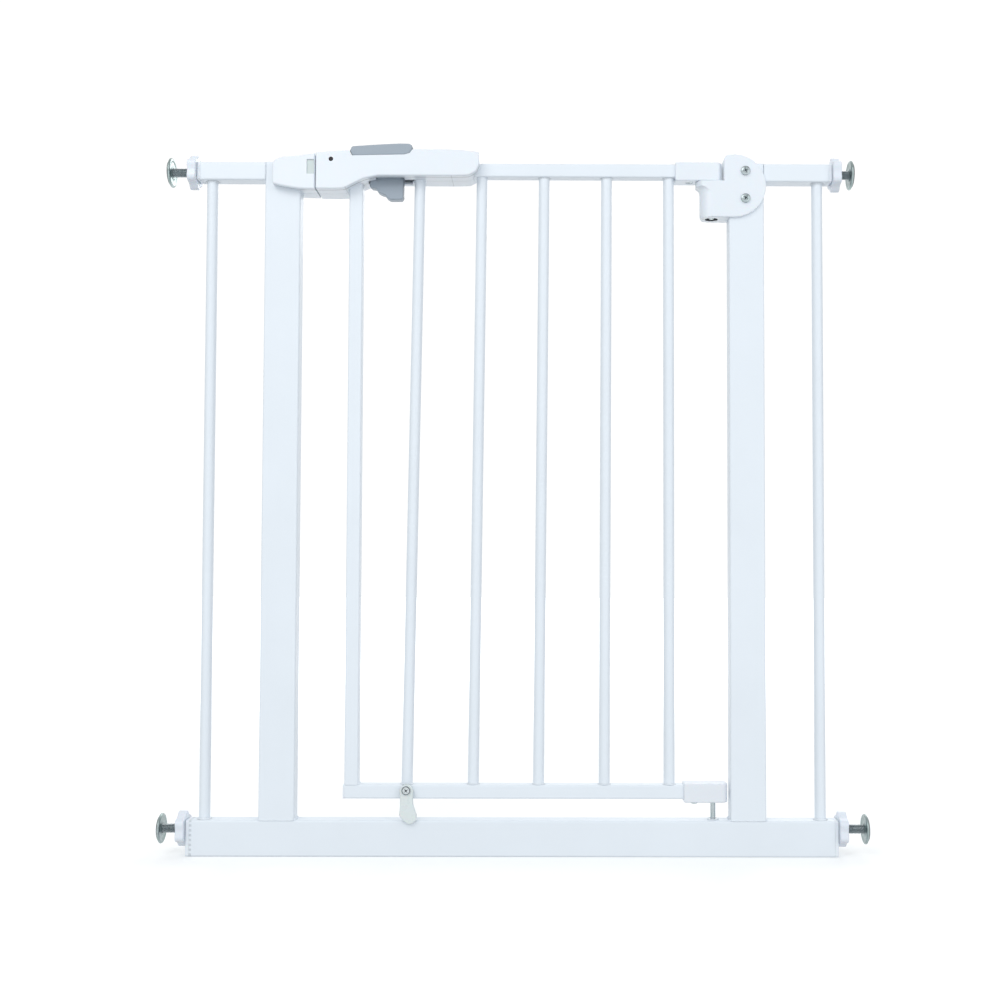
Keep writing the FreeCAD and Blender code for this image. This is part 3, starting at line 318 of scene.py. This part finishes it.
def rubber(name, base):
    m = Mat(name)
    a = m.noise(110.0, 3.0, 0.6)
    m.colour(m.mix(m.ramp(a, [(0.3, 0.0), (0.7, 1.0)]), scaled(base, 0.85), scaled(base, 1.1)))
    m.rough(m.ramp(m.noise(300.0, 2.0), [(0.3, 0.62), (0.7, 0.82)]))
    m.bump([(m.noise(1300.0, 3.0, 0.6), 0.00008, 0.35)])
    m.set(ior=1.5, spec=0.4, sheen=0.05)
    return m.m


M_COAT = powder_coat("powder_coat_white")
M_COAT_STUB = powder_coat("powder_coat_tube_ends", serrate=(0.3438, 0.3470, 0.0021, 0.7416, 0.42))
M_COAT_RAIL = powder_coat("powder_coat_rail", serrate=(0.3472, 0.3512, 0.0026, 0.0420, 0.50), serrate_left=True)
M_WELD = powder_coat("powder_coat_weld", base=(0.756, 0.812, 0.876))
M_SHELL = moulded("moulded_shell", seam_y=True, bore=(0.2185, 0.0075, 0.7300))
M_HANDLE = moulded("moulded_handle", seam_y=True, lip=0.0150, shade_marks=((-0.1860, -0.1852, 0.7270, 0.7300), (-0.0700, -0.0692, 0.7410, 0.7426)))
# The keeper's tint box paints shade into the recess on its front face.
M_KEEP = moulded("moulded_keeper", seam_y=True, lip=0.0150, tint=((-0.2285, -0.2192), (0.7435, 0.7605), (-0.0192, -0.0182), (0.50, 0.58, 0.56)))
M_PLAST = moulded("moulded_white", rough=(0.26, 0.38))
M_CAP = moulded("moulded_cap", base=(0.742, 0.782, 0.840), rough=(0.30, 0.42), flow=0.02)
M_WHEEL = moulded("moulded_wheel", base=(0.728, 0.778, 0.855), rough=(0.24, 0.36), sss=0.06)
# The stopper's high rim weight darkens its edges strongly, as painted shade.
M_STOP = moulded("moulded_stopper", base=(0.685, 0.750, 0.760), rough=(0.22, 0.34), sss=0.06, rim=0.55)
M_BUTTON = moulded("moulded_button", base=(0.315, 0.368, 0.428), rough=(0.36, 0.50), grain=0.2, sss=0.0, flow=0.03, shade_marks=((-0.1830, -0.1800, 0.7675, 0.7712), (-0.1134, -0.1100, 0.7695, 0.7745)))
M_TRIG = moulded("moulded_trigger", base=(0.305, 0.360, 0.424), rough=(0.34, 0.48), grain=0.2, sss=0.0, flow=0.03, shade_marks=((-0.1243, -0.1229, 0.7190, 0.7450), (-0.1620, -0.1598, 0.7330, 0.7450)))
M_RED = moulded("moulded_red", base=(0.008, 0.004, 0.007), rough=(0.42, 0.55), sss=0.0, flow=0.04, rings=((-0.2013, 0.7599), ((0.0020, 0.0026, (0.08, 0.010, 0.016)),)))
M_NYLON = moulded("nylon_bush", base=(0.70, 0.745, 0.79), rough=(0.36, 0.5), sss=0.08)
M_ZINC = zinc("zinc_plate", base=(0.50, 0.54, 0.56), tint=(0.44, 0.51, 0.51))
# Dark centres paint shade into the cross recesses; the stopper screw also gets a painted shadow ring round its head
# rim.
M_SCREW = zinc("zinc_screw", base=(0.40, 0.44, 0.46), tint=(0.34, 0.40, 0.41), rings=(((0.2545, 0.7510), ((-1.0, 0.0013, (0.05, 0.06, 0.07)),)), ((0.2545, 0.7204), ((-1.0, 0.0013, (0.05, 0.06, 0.07)),))))
M_STOPSCREW = zinc("zinc_stopper_screw", base=(0.62, 0.66, 0.68), tint=(0.56, 0.62, 0.62), rings=(((-0.1150, 0.0722), ((-1.0, 0.0012, (0.05, 0.06, 0.07)), (0.0035, 0.02, (0.16, 0.18, 0.19)))),))
M_DISC = zinc("zinc_disc", base=(0.385, 0.445, 0.45), tint=(0.33, 0.405, 0.395), rough=(0.24, 0.40))
M_ROD = zinc("zinc_thread", base=(0.30, 0.335, 0.35), tint=(0.255, 0.30, 0.315), rough=(0.22, 0.38))
M_SPRING = zinc("spring_wire", base=(0.42, 0.43, 0.45), tint=(0.38, 0.40, 0.42), rough=(0.22, 0.34))
M_PAD = rubber("grey_rubber", (0.16, 0.17, 0.18))

BY_NODE = {}
for n in NODES:
    BY_NODE[n] = M_COAT
for n in ("keeper_front", "keeper_rear", "hinge_housing_front", "hinge_housing_rear", "handle_front_shell", "handle_rear_shell"):
    BY_NODE[n] = M_KEEP if n.startswith("keeper") else M_HANDLE if n.startswith("handle") else M_SHELL
for n in ("rail_end_cap_left", "rail_end_cap_right", "stub_end_plug_left", "stub_end_plug_right", "door_rail_end_cap", "top_hinge_sleeve"):
    BY_NODE[n] = M_PLAST
BY_NODE["bottom_hinge_cap"] = M_CAP
BY_NODE["stopper"] = M_STOP
BY_NODE["trigger"] = BY_NODE["latch_bolt"] = M_TRIG
BY_NODE["thumb_button"] = M_BUTTON
BY_NODE["lock_indicator"] = M_RED
BY_NODE["lower_hinge_bush"] = M_NYLON
for n in ("keeper_screws", "hinge_housing_screws", "bottom_hinge_pin", "top_hinge_pin", "hinge_cap_screws", "handle_screws", "stopper_screw"):
    BY_NODE[n] = M_ZINC
for n in ("hinge_spring", "latch_spring", "button_spring"):
    BY_NODE[n] = M_SPRING
BY_NODE["top_rail_left"] = BY_NODE["top_rail_right"] = M_COAT_STUB
BY_NODE["bottom_rail"] = M_COAT_RAIL
for c in ("top_left", "top_right", "bottom_left", "bottom_right"):
    BY_NODE["hand_wheel_" + c] = M_WHEEL
    BY_NODE["spindle_" + c] = M_ROD
    BY_NODE["wall_disc_" + c] = M_DISC
    BY_NODE["wall_pad_" + c] = M_PAD
for n, o in NODES.items():
    o.data.materials.clear()
    o.data.materials.append(BY_NODE[n])


# ================================================================ mesh helpers
def made(name, bm, mat, body, smooth=True, auto=35.0):
    bmesh.ops.remove_doubles(bm, verts=bm.verts, dist=1e-7)
    bmesh.ops.recalc_face_normals(bm, faces=bm.faces)
    me = bpy.data.meshes.new(name)
    bm.to_mesh(me)
    bm.free()
    if smooth:
        for p in me.polygons:
            p.use_smooth = True
        me.set_sharp_from_angle(angle=math.radians(auto))
    me.materials.append(mat)
    o = bpy.data.objects.new(name, me)
    COLL.objects.link(o)
    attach(o, body)
    return o


def basis(axis):
    """Matrix that takes +Z to axis."""
    return Vector((0, 0, 1)).rotation_difference(Vector(axis).normalized()).to_matrix().to_4x4()


def turned(bm, profile, at, axis, seg=48, cap=True):
    """Revolves (radius, height) in mm about axis through at (mm). A radius of 0 closes the end."""
    mt = Matrix.Translation(Vector(at) * MM) @ basis(axis)
    rings = []
    for r, h in profile:
        if r <= 1e-6:
            rings.append([bm.verts.new(mt @ Vector((0, 0, h * MM)))])
        else:
            rings.append([bm.verts.new(mt @ Vector((r * MM * math.cos(2 * math.pi * i / seg), r * MM * math.sin(2 * math.pi * i / seg), h * MM)))
                          for i in range(seg)])
    for a, b in zip(rings, rings[1:]):
        if len(a) == 1 and len(b) == 1:
            continue
        for i in range(seg):
            j = (i + 1) % seg
            if len(a) == 1:
                bm.faces.new((a[0], b[i], b[j]))
            elif len(b) == 1:
                bm.faces.new((a[i], a[j], b[0]))
            else:
                bm.faces.new((a[i], a[j], b[j], b[i]))


def swept(bm, path, radius, seg=10, closed=False, flat=1.0, up=(0, 0, 1)):
    """Tube of round section along a path of points in mm. radius is a number or a function of the index."""
    n = len(path)
    pts = [Vector(p) * MM for p in path]
    rings = []
    upv = Vector(up)
    for i, p in enumerate(pts):
        a = pts[(i - 1) % n] if (closed or i) else pts[i]
        b = pts[(i + 1) % n] if (closed or i < n - 1) else pts[i]
        t = (b - a).normalized()
        s = t.cross(upv)
        if s.length < 1e-4:
            s = t.cross(Vector((1, 0, 0)))
        s.normalize()
        w = s.cross(t).normalized()
        r = (radius(i) if callable(radius) else radius) * MM
        rings.append([bm.verts.new(p + s * (r * math.cos(2 * math.pi * k / seg)) + w * (r * flat * math.sin(2 * math.pi * k / seg)))
                      for k in range(seg)])
    m = n if closed else n - 1
    for i in range(m):
        a, b = rings[i], rings[(i + 1) % n]
        for k in range(seg):
            j = (k + 1) % seg
            bm.faces.new((a[k], a[j], b[j], b[k]))
    if not closed:
        bm.faces.new(rings[0][::-1])
        bm.faces.new(rings[-1])


def hash01(i, s=0):
    return (math.sin(i * 12.9898 + s * 78.233) * 43758.5453) % 1.0


# ================================================================= weld beads
def weld_ring(bm, cx, cy, z, r, up, width=1.9, height=2.3, seg=72, seed=0):
    """Concave fillet weld round a bar standing on a surface at z. up is +1 or -1."""
    rows = 6
    grid = []
    for i in range(seg):
        a = 2 * math.pi * i / seg
        rip = 0.5 + 0.5 * math.sin(i * 2 * math.pi * 15 / seg + 1.2 * math.sin(a + seed))
        w = width * (0.92 + 0.16 * hash01(i // 5, seed)) + 0.28 * rip
        h = height * (0.94 + 0.12 * hash01(i // 7, seed + 3)) + 0.22 * rip
        row = []
        for k in range(rows + 1):
            t = k / rows * math.pi / 2
            rr = r + w * (1 - math.sin(t)) ** 1.15 - 0.05
            hh = h * (1 - math.cos(t)) ** 1.15 + 0.05 * (k == 0)
            bump = 0.13 * rip * math.sin(2 * t)
            row.append(bm.verts.new(Vector((cx + (rr + bump) * math.cos(a), cy + (rr + bump) * math.sin(a), z + up * (hh + bump - 0.05))) * MM))
        grid.append(row)
    inner = []
    for i in range(seg):
        a = 2 * math.pi * i / seg
        inner.append(bm.verts.new(Vector((cx + (r - 0.35) * math.cos(a), cy + (r - 0.35) * math.sin(a), z + up * -0.05)) * MM))
    for i in range(seg):
        j = (i + 1) % seg
        for k in range(rows):
            bm.faces.new((grid[i][k], grid[j][k], grid[j][k + 1], grid[i][k + 1]))
        bm.faces.new((grid[i][rows], grid[j][rows], inner[j], inner[i]))
        bm.faces.new((inner[i], inner[j], grid[j][0], grid[i][0]))


def weld_line(bm, a, b, r=0.8, pitch=1.6, flat=0.6, seed=0, up=(0, 1, 0)):
    """Rippled bead from a to b, in mm."""
    a, b = Vector(a), Vector(b)
    length = (b - a).length
    n = max(8, int(length / pitch * 6))
    side = (b - a).cross(Vector(up)).normalized()
    path, rad = [], []
    for i in range(n + 1):
        t = i / n
        ph = t * length / pitch
        rip = abs(math.sin(math.pi * ph))
        end = min(1.0, min(t, 1 - t) * length / 1.2)
        path.append(a + (b - a) * t + side * 0.12 * math.sin(ph * 2.1 + seed))
        rad.append(max(0.08, r * (0.80 + 0.22 * rip + 0.06 * math.sin(ph * 0.9 + seed)) * math.sqrt(max(0.02, end))))
    swept(bm, path, lambda i: rad[i], seg=10, flat=flat, up=up)


bm = bmesh.new()
for k, sx in enumerate((-1, 1)):
    weld_ring(bm, sx * 335.8, 0, 39.0, 6.0, 1, seed=k)
    weld_ring(bm, sx * 335.8, 0, 740.0, 6.0, -1, width=1.5, height=1.8, seed=k + 5)
made("weld_outer_bars", bm, M_WELD, "frame")

bm = bmesh.new()
for k, sx in enumerate((-1, 1)):
    x0, x1 = sx * 236.5, sx * 275.5
    for y in (-9.9, 9.9):
        weld_line(bm, (min(x0, x1) + 0.6, y, 39.1), (max(x0, x1) - 0.6, y, 39.1), r=0.75, pitch=2.1, flat=0.9, seed=k + y)
    for x in (x0, x1):
        d = 0.35 if x > (x0 + x1) / 2 else -0.35
        weld_line(bm, (x + d, -9.2, 39.35), (x + d, 9.2, 39.35), r=1.25, pitch=1.9, flat=1.0, seed=k + x, up=(0, 0, 1))
# seam between the top stub and the left post, the one that no shell covers
weld_line(bm, (-275.7, -9.9, 741.0), (-275.7, -9.9, 759.0), r=0.75, pitch=1.8, flat=0.9, seed=4, up=(0, 1, 0))
weld_line(bm, (-275.7, 9.9, 741.0), (-275.7, 9.9, 759.0), r=0.75, pitch=1.8, flat=0.9, seed=5, up=(0, 1, 0))
weld_line(bm, (-275.9, -8.6, 739.7), (-275.9, 8.6, 739.7), r=1.1, pitch=1.8, flat=1.0, seed=6, up=(0, 0, 1))
made("weld_posts", bm, M_WELD, "frame")

bm = bmesh.new()
LOWX = [-115.4, -43.2, 28.0, 99.8, 170.7]
TOPX = [-105.4, -36.6, 32.5, 101.8, 170.7]
for k, x in enumerate(LOWX):
    weld_ring(bm, x, 0, 77.0, 6.0, 1, width=1.25, height=1.7, seed=k + 11)
for k, x in enumerate(TOPX):
    if k >= 2:
        weld_ring(bm, x, 0, 745.0, 6.0, -1, width=1.25, height=1.7, seed=k + 21)
weld_line(bm, (-167.8, -6.9, 77.3), (-167.8, 6.9, 77.3), r=1.0, pitch=1.7, flat=1.0, seed=31, up=(0, 0, 1))
weld_line(bm, (-182.4, -7.42, 77.05), (-168.6, -7.42, 77.05), r=0.6, pitch=1.7, flat=0.8, seed=32)
weld_line(bm, (-182.4, 7.42, 77.05), (-168.6, 7.42, 77.05), r=0.6, pitch=1.7, flat=0.8, seed=33)
made("weld_door", bm, M_WELD, "door")


# ============================================================ threaded spindles
CORNERS = {"top_left": (-1, 383.6, 750.0, 347.5 + 3.5), "top_right": (1, 375.4, 750.0, 347.5 + 3.5),
           "bottom_left": (-1, 384.8, 28.5, 354.0), "bottom_right": (1, 387.2, 28.5, 354.0)}


def thread(bm, tip, side, zc, length, major=4.95, minor=4.2, pitch=1.5, seg=36):
    """Rod with a real helical thread, axis along X, from |x| = tip inwards."""
    per = 6
    n = int(length / pitch * per)
    prof = []
    for k in range(per):
        t = k / per
        prof.append(major if t in (0.0,) else (minor if abs(t - 0.5) < 0.26 else (major + minor) / 2))
    rings = []
    for i in range(n + 1):
        x = tip - i * pitch / per
        ring = []
        for s in range(seg):
            a = 2 * math.pi * s / seg
            t = (i / per + s / seg) % 1.0
            d = abs(t - 0.5) * 2          # 1 at the crest, 0 at the root
            d = min(1.0, max(0.0, (d - 0.10) / 0.72))
            r = minor + (major - minor) * d
            if i < 3:
                r = minor + 0.2
            if i > n - 5:
                r = min(r, minor - 0.1 + (n - i) * 0.12)
            ring.append(bm.verts.new(Vector((side * x, r * math.cos(a * side), zc + r * math.sin(a * side))) * MM))
        rings.append(ring)
    for a, b in zip(rings, rings[1:]):
        for s in range(seg):
            j = (s + 1) % seg
            bm.faces.new((a[s], a[j], b[j], b[s]))
    bm.faces.new(rings[0])
    bm.faces.new(rings[-1][::-1])


for c, (side, px, zc, tube) in CORNERS.items():
    disc_in = px - 1.2 - 2.8
    bm = bmesh.new()
    thread(bm, disc_in + 1.9, side, zc, 86.0)
    o = made("thread_" + c, bm, M_ROD, "spindle_" + c, auto=60)
    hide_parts("spindle_" + c)
    # dished disc: rolled rim, ring groove, hub collar
    ax = (side, 0, 0)
    bm = bmesh.new()
    prof = [(5.02, 0.9), (5.02, -0.0), (5.3, -0.20), (6.2, -0.28), (7.1, -0.14), (7.6, 0.35), (8.6, 0.55), (11.0, 0.52), (12.2, 0.40), (12.9, 0.05),
            (13.6, -0.12), (14.6, 0.0), (15.5, 0.35), (16.05, 0.95), (16.22, 1.5), (16.05, 2.05), (15.5, 2.5), (14.6, 2.74), (13.4, 2.79), (0.0, 2.79)]
    turned(bm, prof, (side * disc_in, 0, zc), ax, seg=96)
    o = made("disc_" + c, bm, M_DISC, "spindle_" + c, auto=50)
    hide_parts("wall_disc_" + c)
    # ribbed pad
    bm = bmesh.new()
    prof = [(0.0, 0.0), (13.45, 0.0), (13.45, 0.75), (13.1, 1.15)]
    r = 12.6
    while r > 1.2:
        prof += [(r, 1.18), (r - 0.35, 0.75), (r - 0.95, 0.75), (r - 1.3, 1.18)]
        r -= 2.2
    prof += [(0.0, 1.18)]
    turned(bm, prof, (side * (disc_in + 2.8), 0, zc), ax, seg=72)
    o = made("pad_" + c, bm, M_PAD, "spindle_" + c, auto=30)
    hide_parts("wall_pad_" + c)


# ============================================================== recessed screws
def cross_head(bm, at, axis, head_r, head_h, shank_r, shank_l, twist=0.0, flat=0.35):
    """Pan head with a real cross recess, and its shank."""
    mt = Matrix.Translation(Vector(at) * MM) @ basis(axis) @ Matrix.Rotation(twist, 4, "Z")
    seg, rings = 96, 26
    arm, half = head_r * 0.56, head_r * 0.125
    depth = min(head_h * 0.62, head_r * 0.5)

    def top(x, y):
        r = math.hypot(x, y)
        t = min(1.0, r / head_r)
        h = head_h * (1 - flat * t ** 3.2)
        ax, ay = abs(x), abs(y)
        d = min(max(ax - arm, ay - half), max(ay - arm, ax - half))
        core = r - head_r * 0.24
        d = min(d, core)
        k = min(1.0, max(0.0, -d / (head_r * 0.055)))
        if k > 0:
            h -= depth * (1 - 0.45 * min(1.0, r / arm)) * (k * k * (3 - 2 * k))
        return h

    grid = []
    for i in range(1, rings + 1):
        r = head_r * (i / rings)
        if i == rings:
            r = head_r * 0.985
        grid.append([(r, 2 * math.pi * s / seg) for s in range(seg)])
    rows = [[bm.verts.new(mt @ (Vector((r * math.cos(a), r * math.sin(a), top(r * math.cos(a), r * math.sin(a)))) * MM)) for r, a in g] for g in grid]
    mid = bm.verts.new(mt @ (Vector((0, 0, top(0, 0))) * MM))
    for s in range(seg):
        bm.faces.new((mid, rows[0][s], rows[0][(s + 1) % seg]))
    for a, b in zip(rows, rows[1:]):
        for s in range(seg):
            j = (s + 1) % seg
            bm.faces.new((a[s], b[s], b[j], a[j]))
    side = [(head_r, head_h * (1 - flat) - 0.12), (head_r, 0.14), (head_r - 0.14, 0.0), (shank_r, 0.0), (shank_r, -shank_l + 0.6), (shank_r * 0.5, -shank_l)]
    last = rows[-1]
    for r, h in side:
        ring = [bm.verts.new(mt @ (Vector((r * math.cos(2 * math.pi * s / seg), r * math.sin(2 * math.pi * s / seg), h)) * MM)) for s in range(seg)]
        for s in range(seg):
            j = (s + 1) % seg
            bm.faces.new((last[s], ring[s], ring[j], last[j]))
        last = ring
    bm.faces.new(last)


SCREWS = {
    "hinge_housing_screws": ("frame", [((254.5, -13.4, 751.0), (0, -1, 0), 5.0, 2.8, 2.0, 25.0, 0.35), ((254.5, -13.4, 720.4), (0, -1, 0), 5.0, 2.8, 2.0, 25.0, 1.0)]),
    "keeper_screws": ("frame", [((-250.0, 17.6, 738.0), (0, 1, 0), 3.6, 2.2, 1.9, 32.0, 0.2), ((-250.0, 17.6, 753.0), (0, 1, 0), 3.6, 2.2, 1.9, 32.0, 0.8)]),
    "handle_screws": ("door", [((-206.0, 19.0, 733.8), (0, 1, 0), 2.6, 2.0, 1.4, 34.0, 0.5), ((-99.0, 19.0, 765.4), (0, 1, 0), 2.6, 2.0, 1.4, 34.0, 1.1),
                               ((-52.5, 19.0, 764.4), (0, 1, 0), 2.6, 2.0, 1.4, 34.0, 0.1)]),
    "hinge_cap_screws": ("door", [((198.0, 0.0, 58.5), (0, 0, -1), 3.9, 2.6, 1.6, 9.0, 0.3), ((193.6, 0.0, 743.0), (0, 0, -1), 3.8, 2.0, 1.6, 9.0, 0.9)]),
    "stopper_screw": ("door", [((-115.0, -14.72, 72.2), (0, -1, 0), 4.6, 2.4, 2.0, 16.0, 0.6)]),
}
for node, (body, heads) in SCREWS.items():
    bm = bmesh.new()
    for at, ax, hr, hh, sr, sl, tw in heads:
        cross_head(bm, at, ax, hr, hh, sr, sl, tw)
    o = made(node + "_cross", bm, M_STOPSCREW if node == "stopper_screw" else M_SCREW if node == "hinge_housing_screws" else M_ZINC, body, auto=40)
    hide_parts(node)


# ===================================================================== springs
def coil(bm, at, axis, mean_r, wire, length, turns, seg=10):
    mt = basis(axis)
    n = int(turns * 28)
    path = []
    for i in range(n + 1):
        t = i / n
        a = 2 * math.pi * turns * t
        e = 0.5 - 0.5 * math.cos(math.pi * min(1.0, min(t, 1 - t) * turns / 1.0)) if turns > 2 else 1.0
        h = wire + (length - 2 * wire) * t
        path.append(Vector(at) + (mt @ Vector((mean_r * math.cos(a), mean_r * math.sin(a), h))))
    swept(bm, path, wire * 0.98, seg=seg, up=axis)


bm = bmesh.new()
coil(bm, (218.5, 0, 711.2), (0, 0, 1), 5.9, 0.85, 21.0, 9.5)
o = made("hinge_spring_coil", bm, M_SPRING, "frame")
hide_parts("hinge_spring")
bm = bmesh.new()
coil(bm, (-127.9, -10.9, 751.3), (1, 0, 0), 1.93, 0.36, 30.8, 22)
o = made("latch_spring_coil", bm, M_SPRING, "door")
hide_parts("latch_spring")
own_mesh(o)
bm = bmesh.new()
coil(bm, (-146.5, 15.8, 746.1), (0, 0, 1), 2.2, 0.42, 13.8, 10)
o = made("button_spring_coil", bm, M_SPRING, "door")
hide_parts("button_spring")
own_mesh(o)


# ================================================================ scene setting
def floor():
    bm = bmesh.new()
    n, size = 32, 14.0
    vs = [[bm.verts.new(((i / n - 0.5) * size, (j / n - 0.5) * size + 0.4, -0.0002)) for j in range(n + 1)] for i in range(n + 1)]
    for i in range(n):
        for j in range(n):
            bm.faces.new((vs[i][j], vs[i + 1][j], vs[i + 1][j + 1], vs[i][j + 1]))
    me = bpy.data.meshes.new("floor")
    bm.to_mesh(me)
    bm.free()
    m = Mat("floor_pale_glow")
    base = m.mix(m.ramp(m.noise(1.3, 3.0), [(0.3, 0.0), (0.7, 1.0)]), (0.88, 0.885, 0.89), (0.90, 0.903, 0.905))
    m.colour(base)
    m.rough(m.ramp(m.noise(40.0, 2.0), [(0.3, 0.72), (0.7, 0.82)]))
    # The floor glows as painted light, faintly near the gate and more strongly further out, so its shadows stay soft
    # and it fades into the white backdrop.
    m.b.inputs["Emission Color"].default_value = (0.96, 0.98, 1.0, 1)
    x, y, z = m.xyz()
    glow_far = m.math("SQRT", m.math("ADD", m.math("MULTIPLY", x, x), m.math("MULTIPLY", y, y)))
    glow_far = m.math("DIVIDE", m.math("SUBTRACT", glow_far, 0.75), 1.5, clamp=True)
    glow_far = m.math("MULTIPLY", m.math("MULTIPLY", glow_far, glow_far), m.math("SUBTRACT", 3.0, m.math("MULTIPLY", glow_far, 2.0)))
    m.link(m.math("ADD", 0.16, m.math("MULTIPLY", glow_far, 0.55)), m.b.inputs["Emission Strength"])
    m.set(spec=0.1)
    me.materials.append(m.m)
    o = bpy.data.objects.new("floor", me)
    COLL.objects.link(o)
    o.visible_diffuse = False


floor()

w = bpy.data.worlds.new("studio")
bpy.context.scene.world = w
w.use_nodes = True
nt = w.node_tree
nt.nodes.clear()
wo = nt.nodes.new("ShaderNodeOutputWorld")
geo = nt.nodes.new("ShaderNodeTexCoord")
sep = nt.nodes.new("ShaderNodeSeparateXYZ")
nt.links.new(geo.outputs["Generated"], sep.inputs[0])


def wm(op, a, b=0.0, clamp=False):
    n = nt.nodes.new("ShaderNodeMath")
    n.operation = op
    n.use_clamp = clamp
    for i, v in enumerate((a, b)):
        if isinstance(v, (int, float)):
            n.inputs[i].default_value = v
        else:
            nt.links.new(v, n.inputs[i])
    return n.outputs[0]


fb = wm("MULTIPLY", sep.outputs[1], sep.outputs[1])
up = wm("MAXIMUM", sep.outputs[2], 0.0)
dn = wm("MAXIMUM", wm("MULTIPLY", sep.outputs[2], -1.0), 0.0)
lit = wm("ADD", wm("ADD", 0.42, wm("MULTIPLY", fb, 0.70)), wm("ADD", wm("MULTIPLY", up, 0.33), wm("MULTIPLY", dn, 0.12)))
bg1 = nt.nodes.new("ShaderNodeBackground")
bg1.inputs[0].default_value = (0.975, 0.995, 1.0, 1)
nt.links.new(lit, bg1.inputs[1])
bg2 = nt.nodes.new("ShaderNodeBackground")
bg2.inputs[0].default_value = (1.0, 1.0, 1.0, 1)
bg2.inputs[1].default_value = 1.05
lp = nt.nodes.new("ShaderNodeLightPath")
mx = nt.nodes.new("ShaderNodeMixShader")
nt.links.new(lp.outputs["Is Camera Ray"], mx.inputs[0])
nt.links.new(bg1.outputs[0], mx.inputs[1])
nt.links.new(bg2.outputs[0], mx.inputs[2])
nt.links.new(mx.outputs[0], wo.inputs[0])


def area(name, loc, target, size, power, colour=(1, 1, 1)):
    d = bpy.data.lights.new(name, "AREA")
    d.shape = "RECTANGLE"
    d.size, d.size_y = size
    d.energy = power
    d.color = colour
    o = bpy.data.objects.new(name, d)
    COLL.objects.link(o)
    o.location = loc
    o.rotation_euler = (Vector(target) - Vector(loc)).to_track_quat("-Z", "Y").to_euler()
    return o


area("key_soft", (-0.9, -1.7, 1.9), (0, 0, 0.55), (1.6, 1.2), 14.0, (1.0, 0.995, 0.985))
area("fill_soft", (1.9, -1.7, 1.2), (0, 0, 0.4), (1.2, 1.6), 8.0, (0.97, 0.985, 1.0))
area("back_soft", (0.9, 2.4, 1.9), (0, 0, 0.4), (1.6, 1.2), 14.0, (1.0, 1.0, 1.0))

vs = bpy.context.scene.view_settings
vs.view_transform = "Standard"
vs.look = "None"
vs.exposure = 0.0
vs.gamma = 1.0

# ====================================================================== camera
cd = bpy.data.cameras.new("camera")
cam = bpy.data.objects.new("camera", cd)
COLL.objects.link(cam)
yaw, pitch, roll = 0.0045, 0.0392, 0.0025
fwd = Vector((math.sin(yaw) * math.cos(pitch), math.cos(yaw) * math.cos(pitch), math.sin(pitch)))
right0 = Vector((math.cos(yaw), -math.sin(yaw), 0))
up0 = right0.cross(fwd)
right = right0 * math.cos(roll) + up0 * math.sin(roll)
upv = up0 * math.cos(roll) - right0 * math.sin(roll)
mw = Matrix((right, upv, -fwd)).transposed().to_4x4()
mw.translation = Vector((0.03704, -1.39140, 0.33253))
cam.matrix_world = mw
cd.sensor_width = 36.0
cd.lens = 45.485
cd.shift_x = -0.0532
cd.shift_y = 0.0002
cd.clip_start = 0.01
cd.clip_end = 60.0
bpy.context.scene.camera = cam
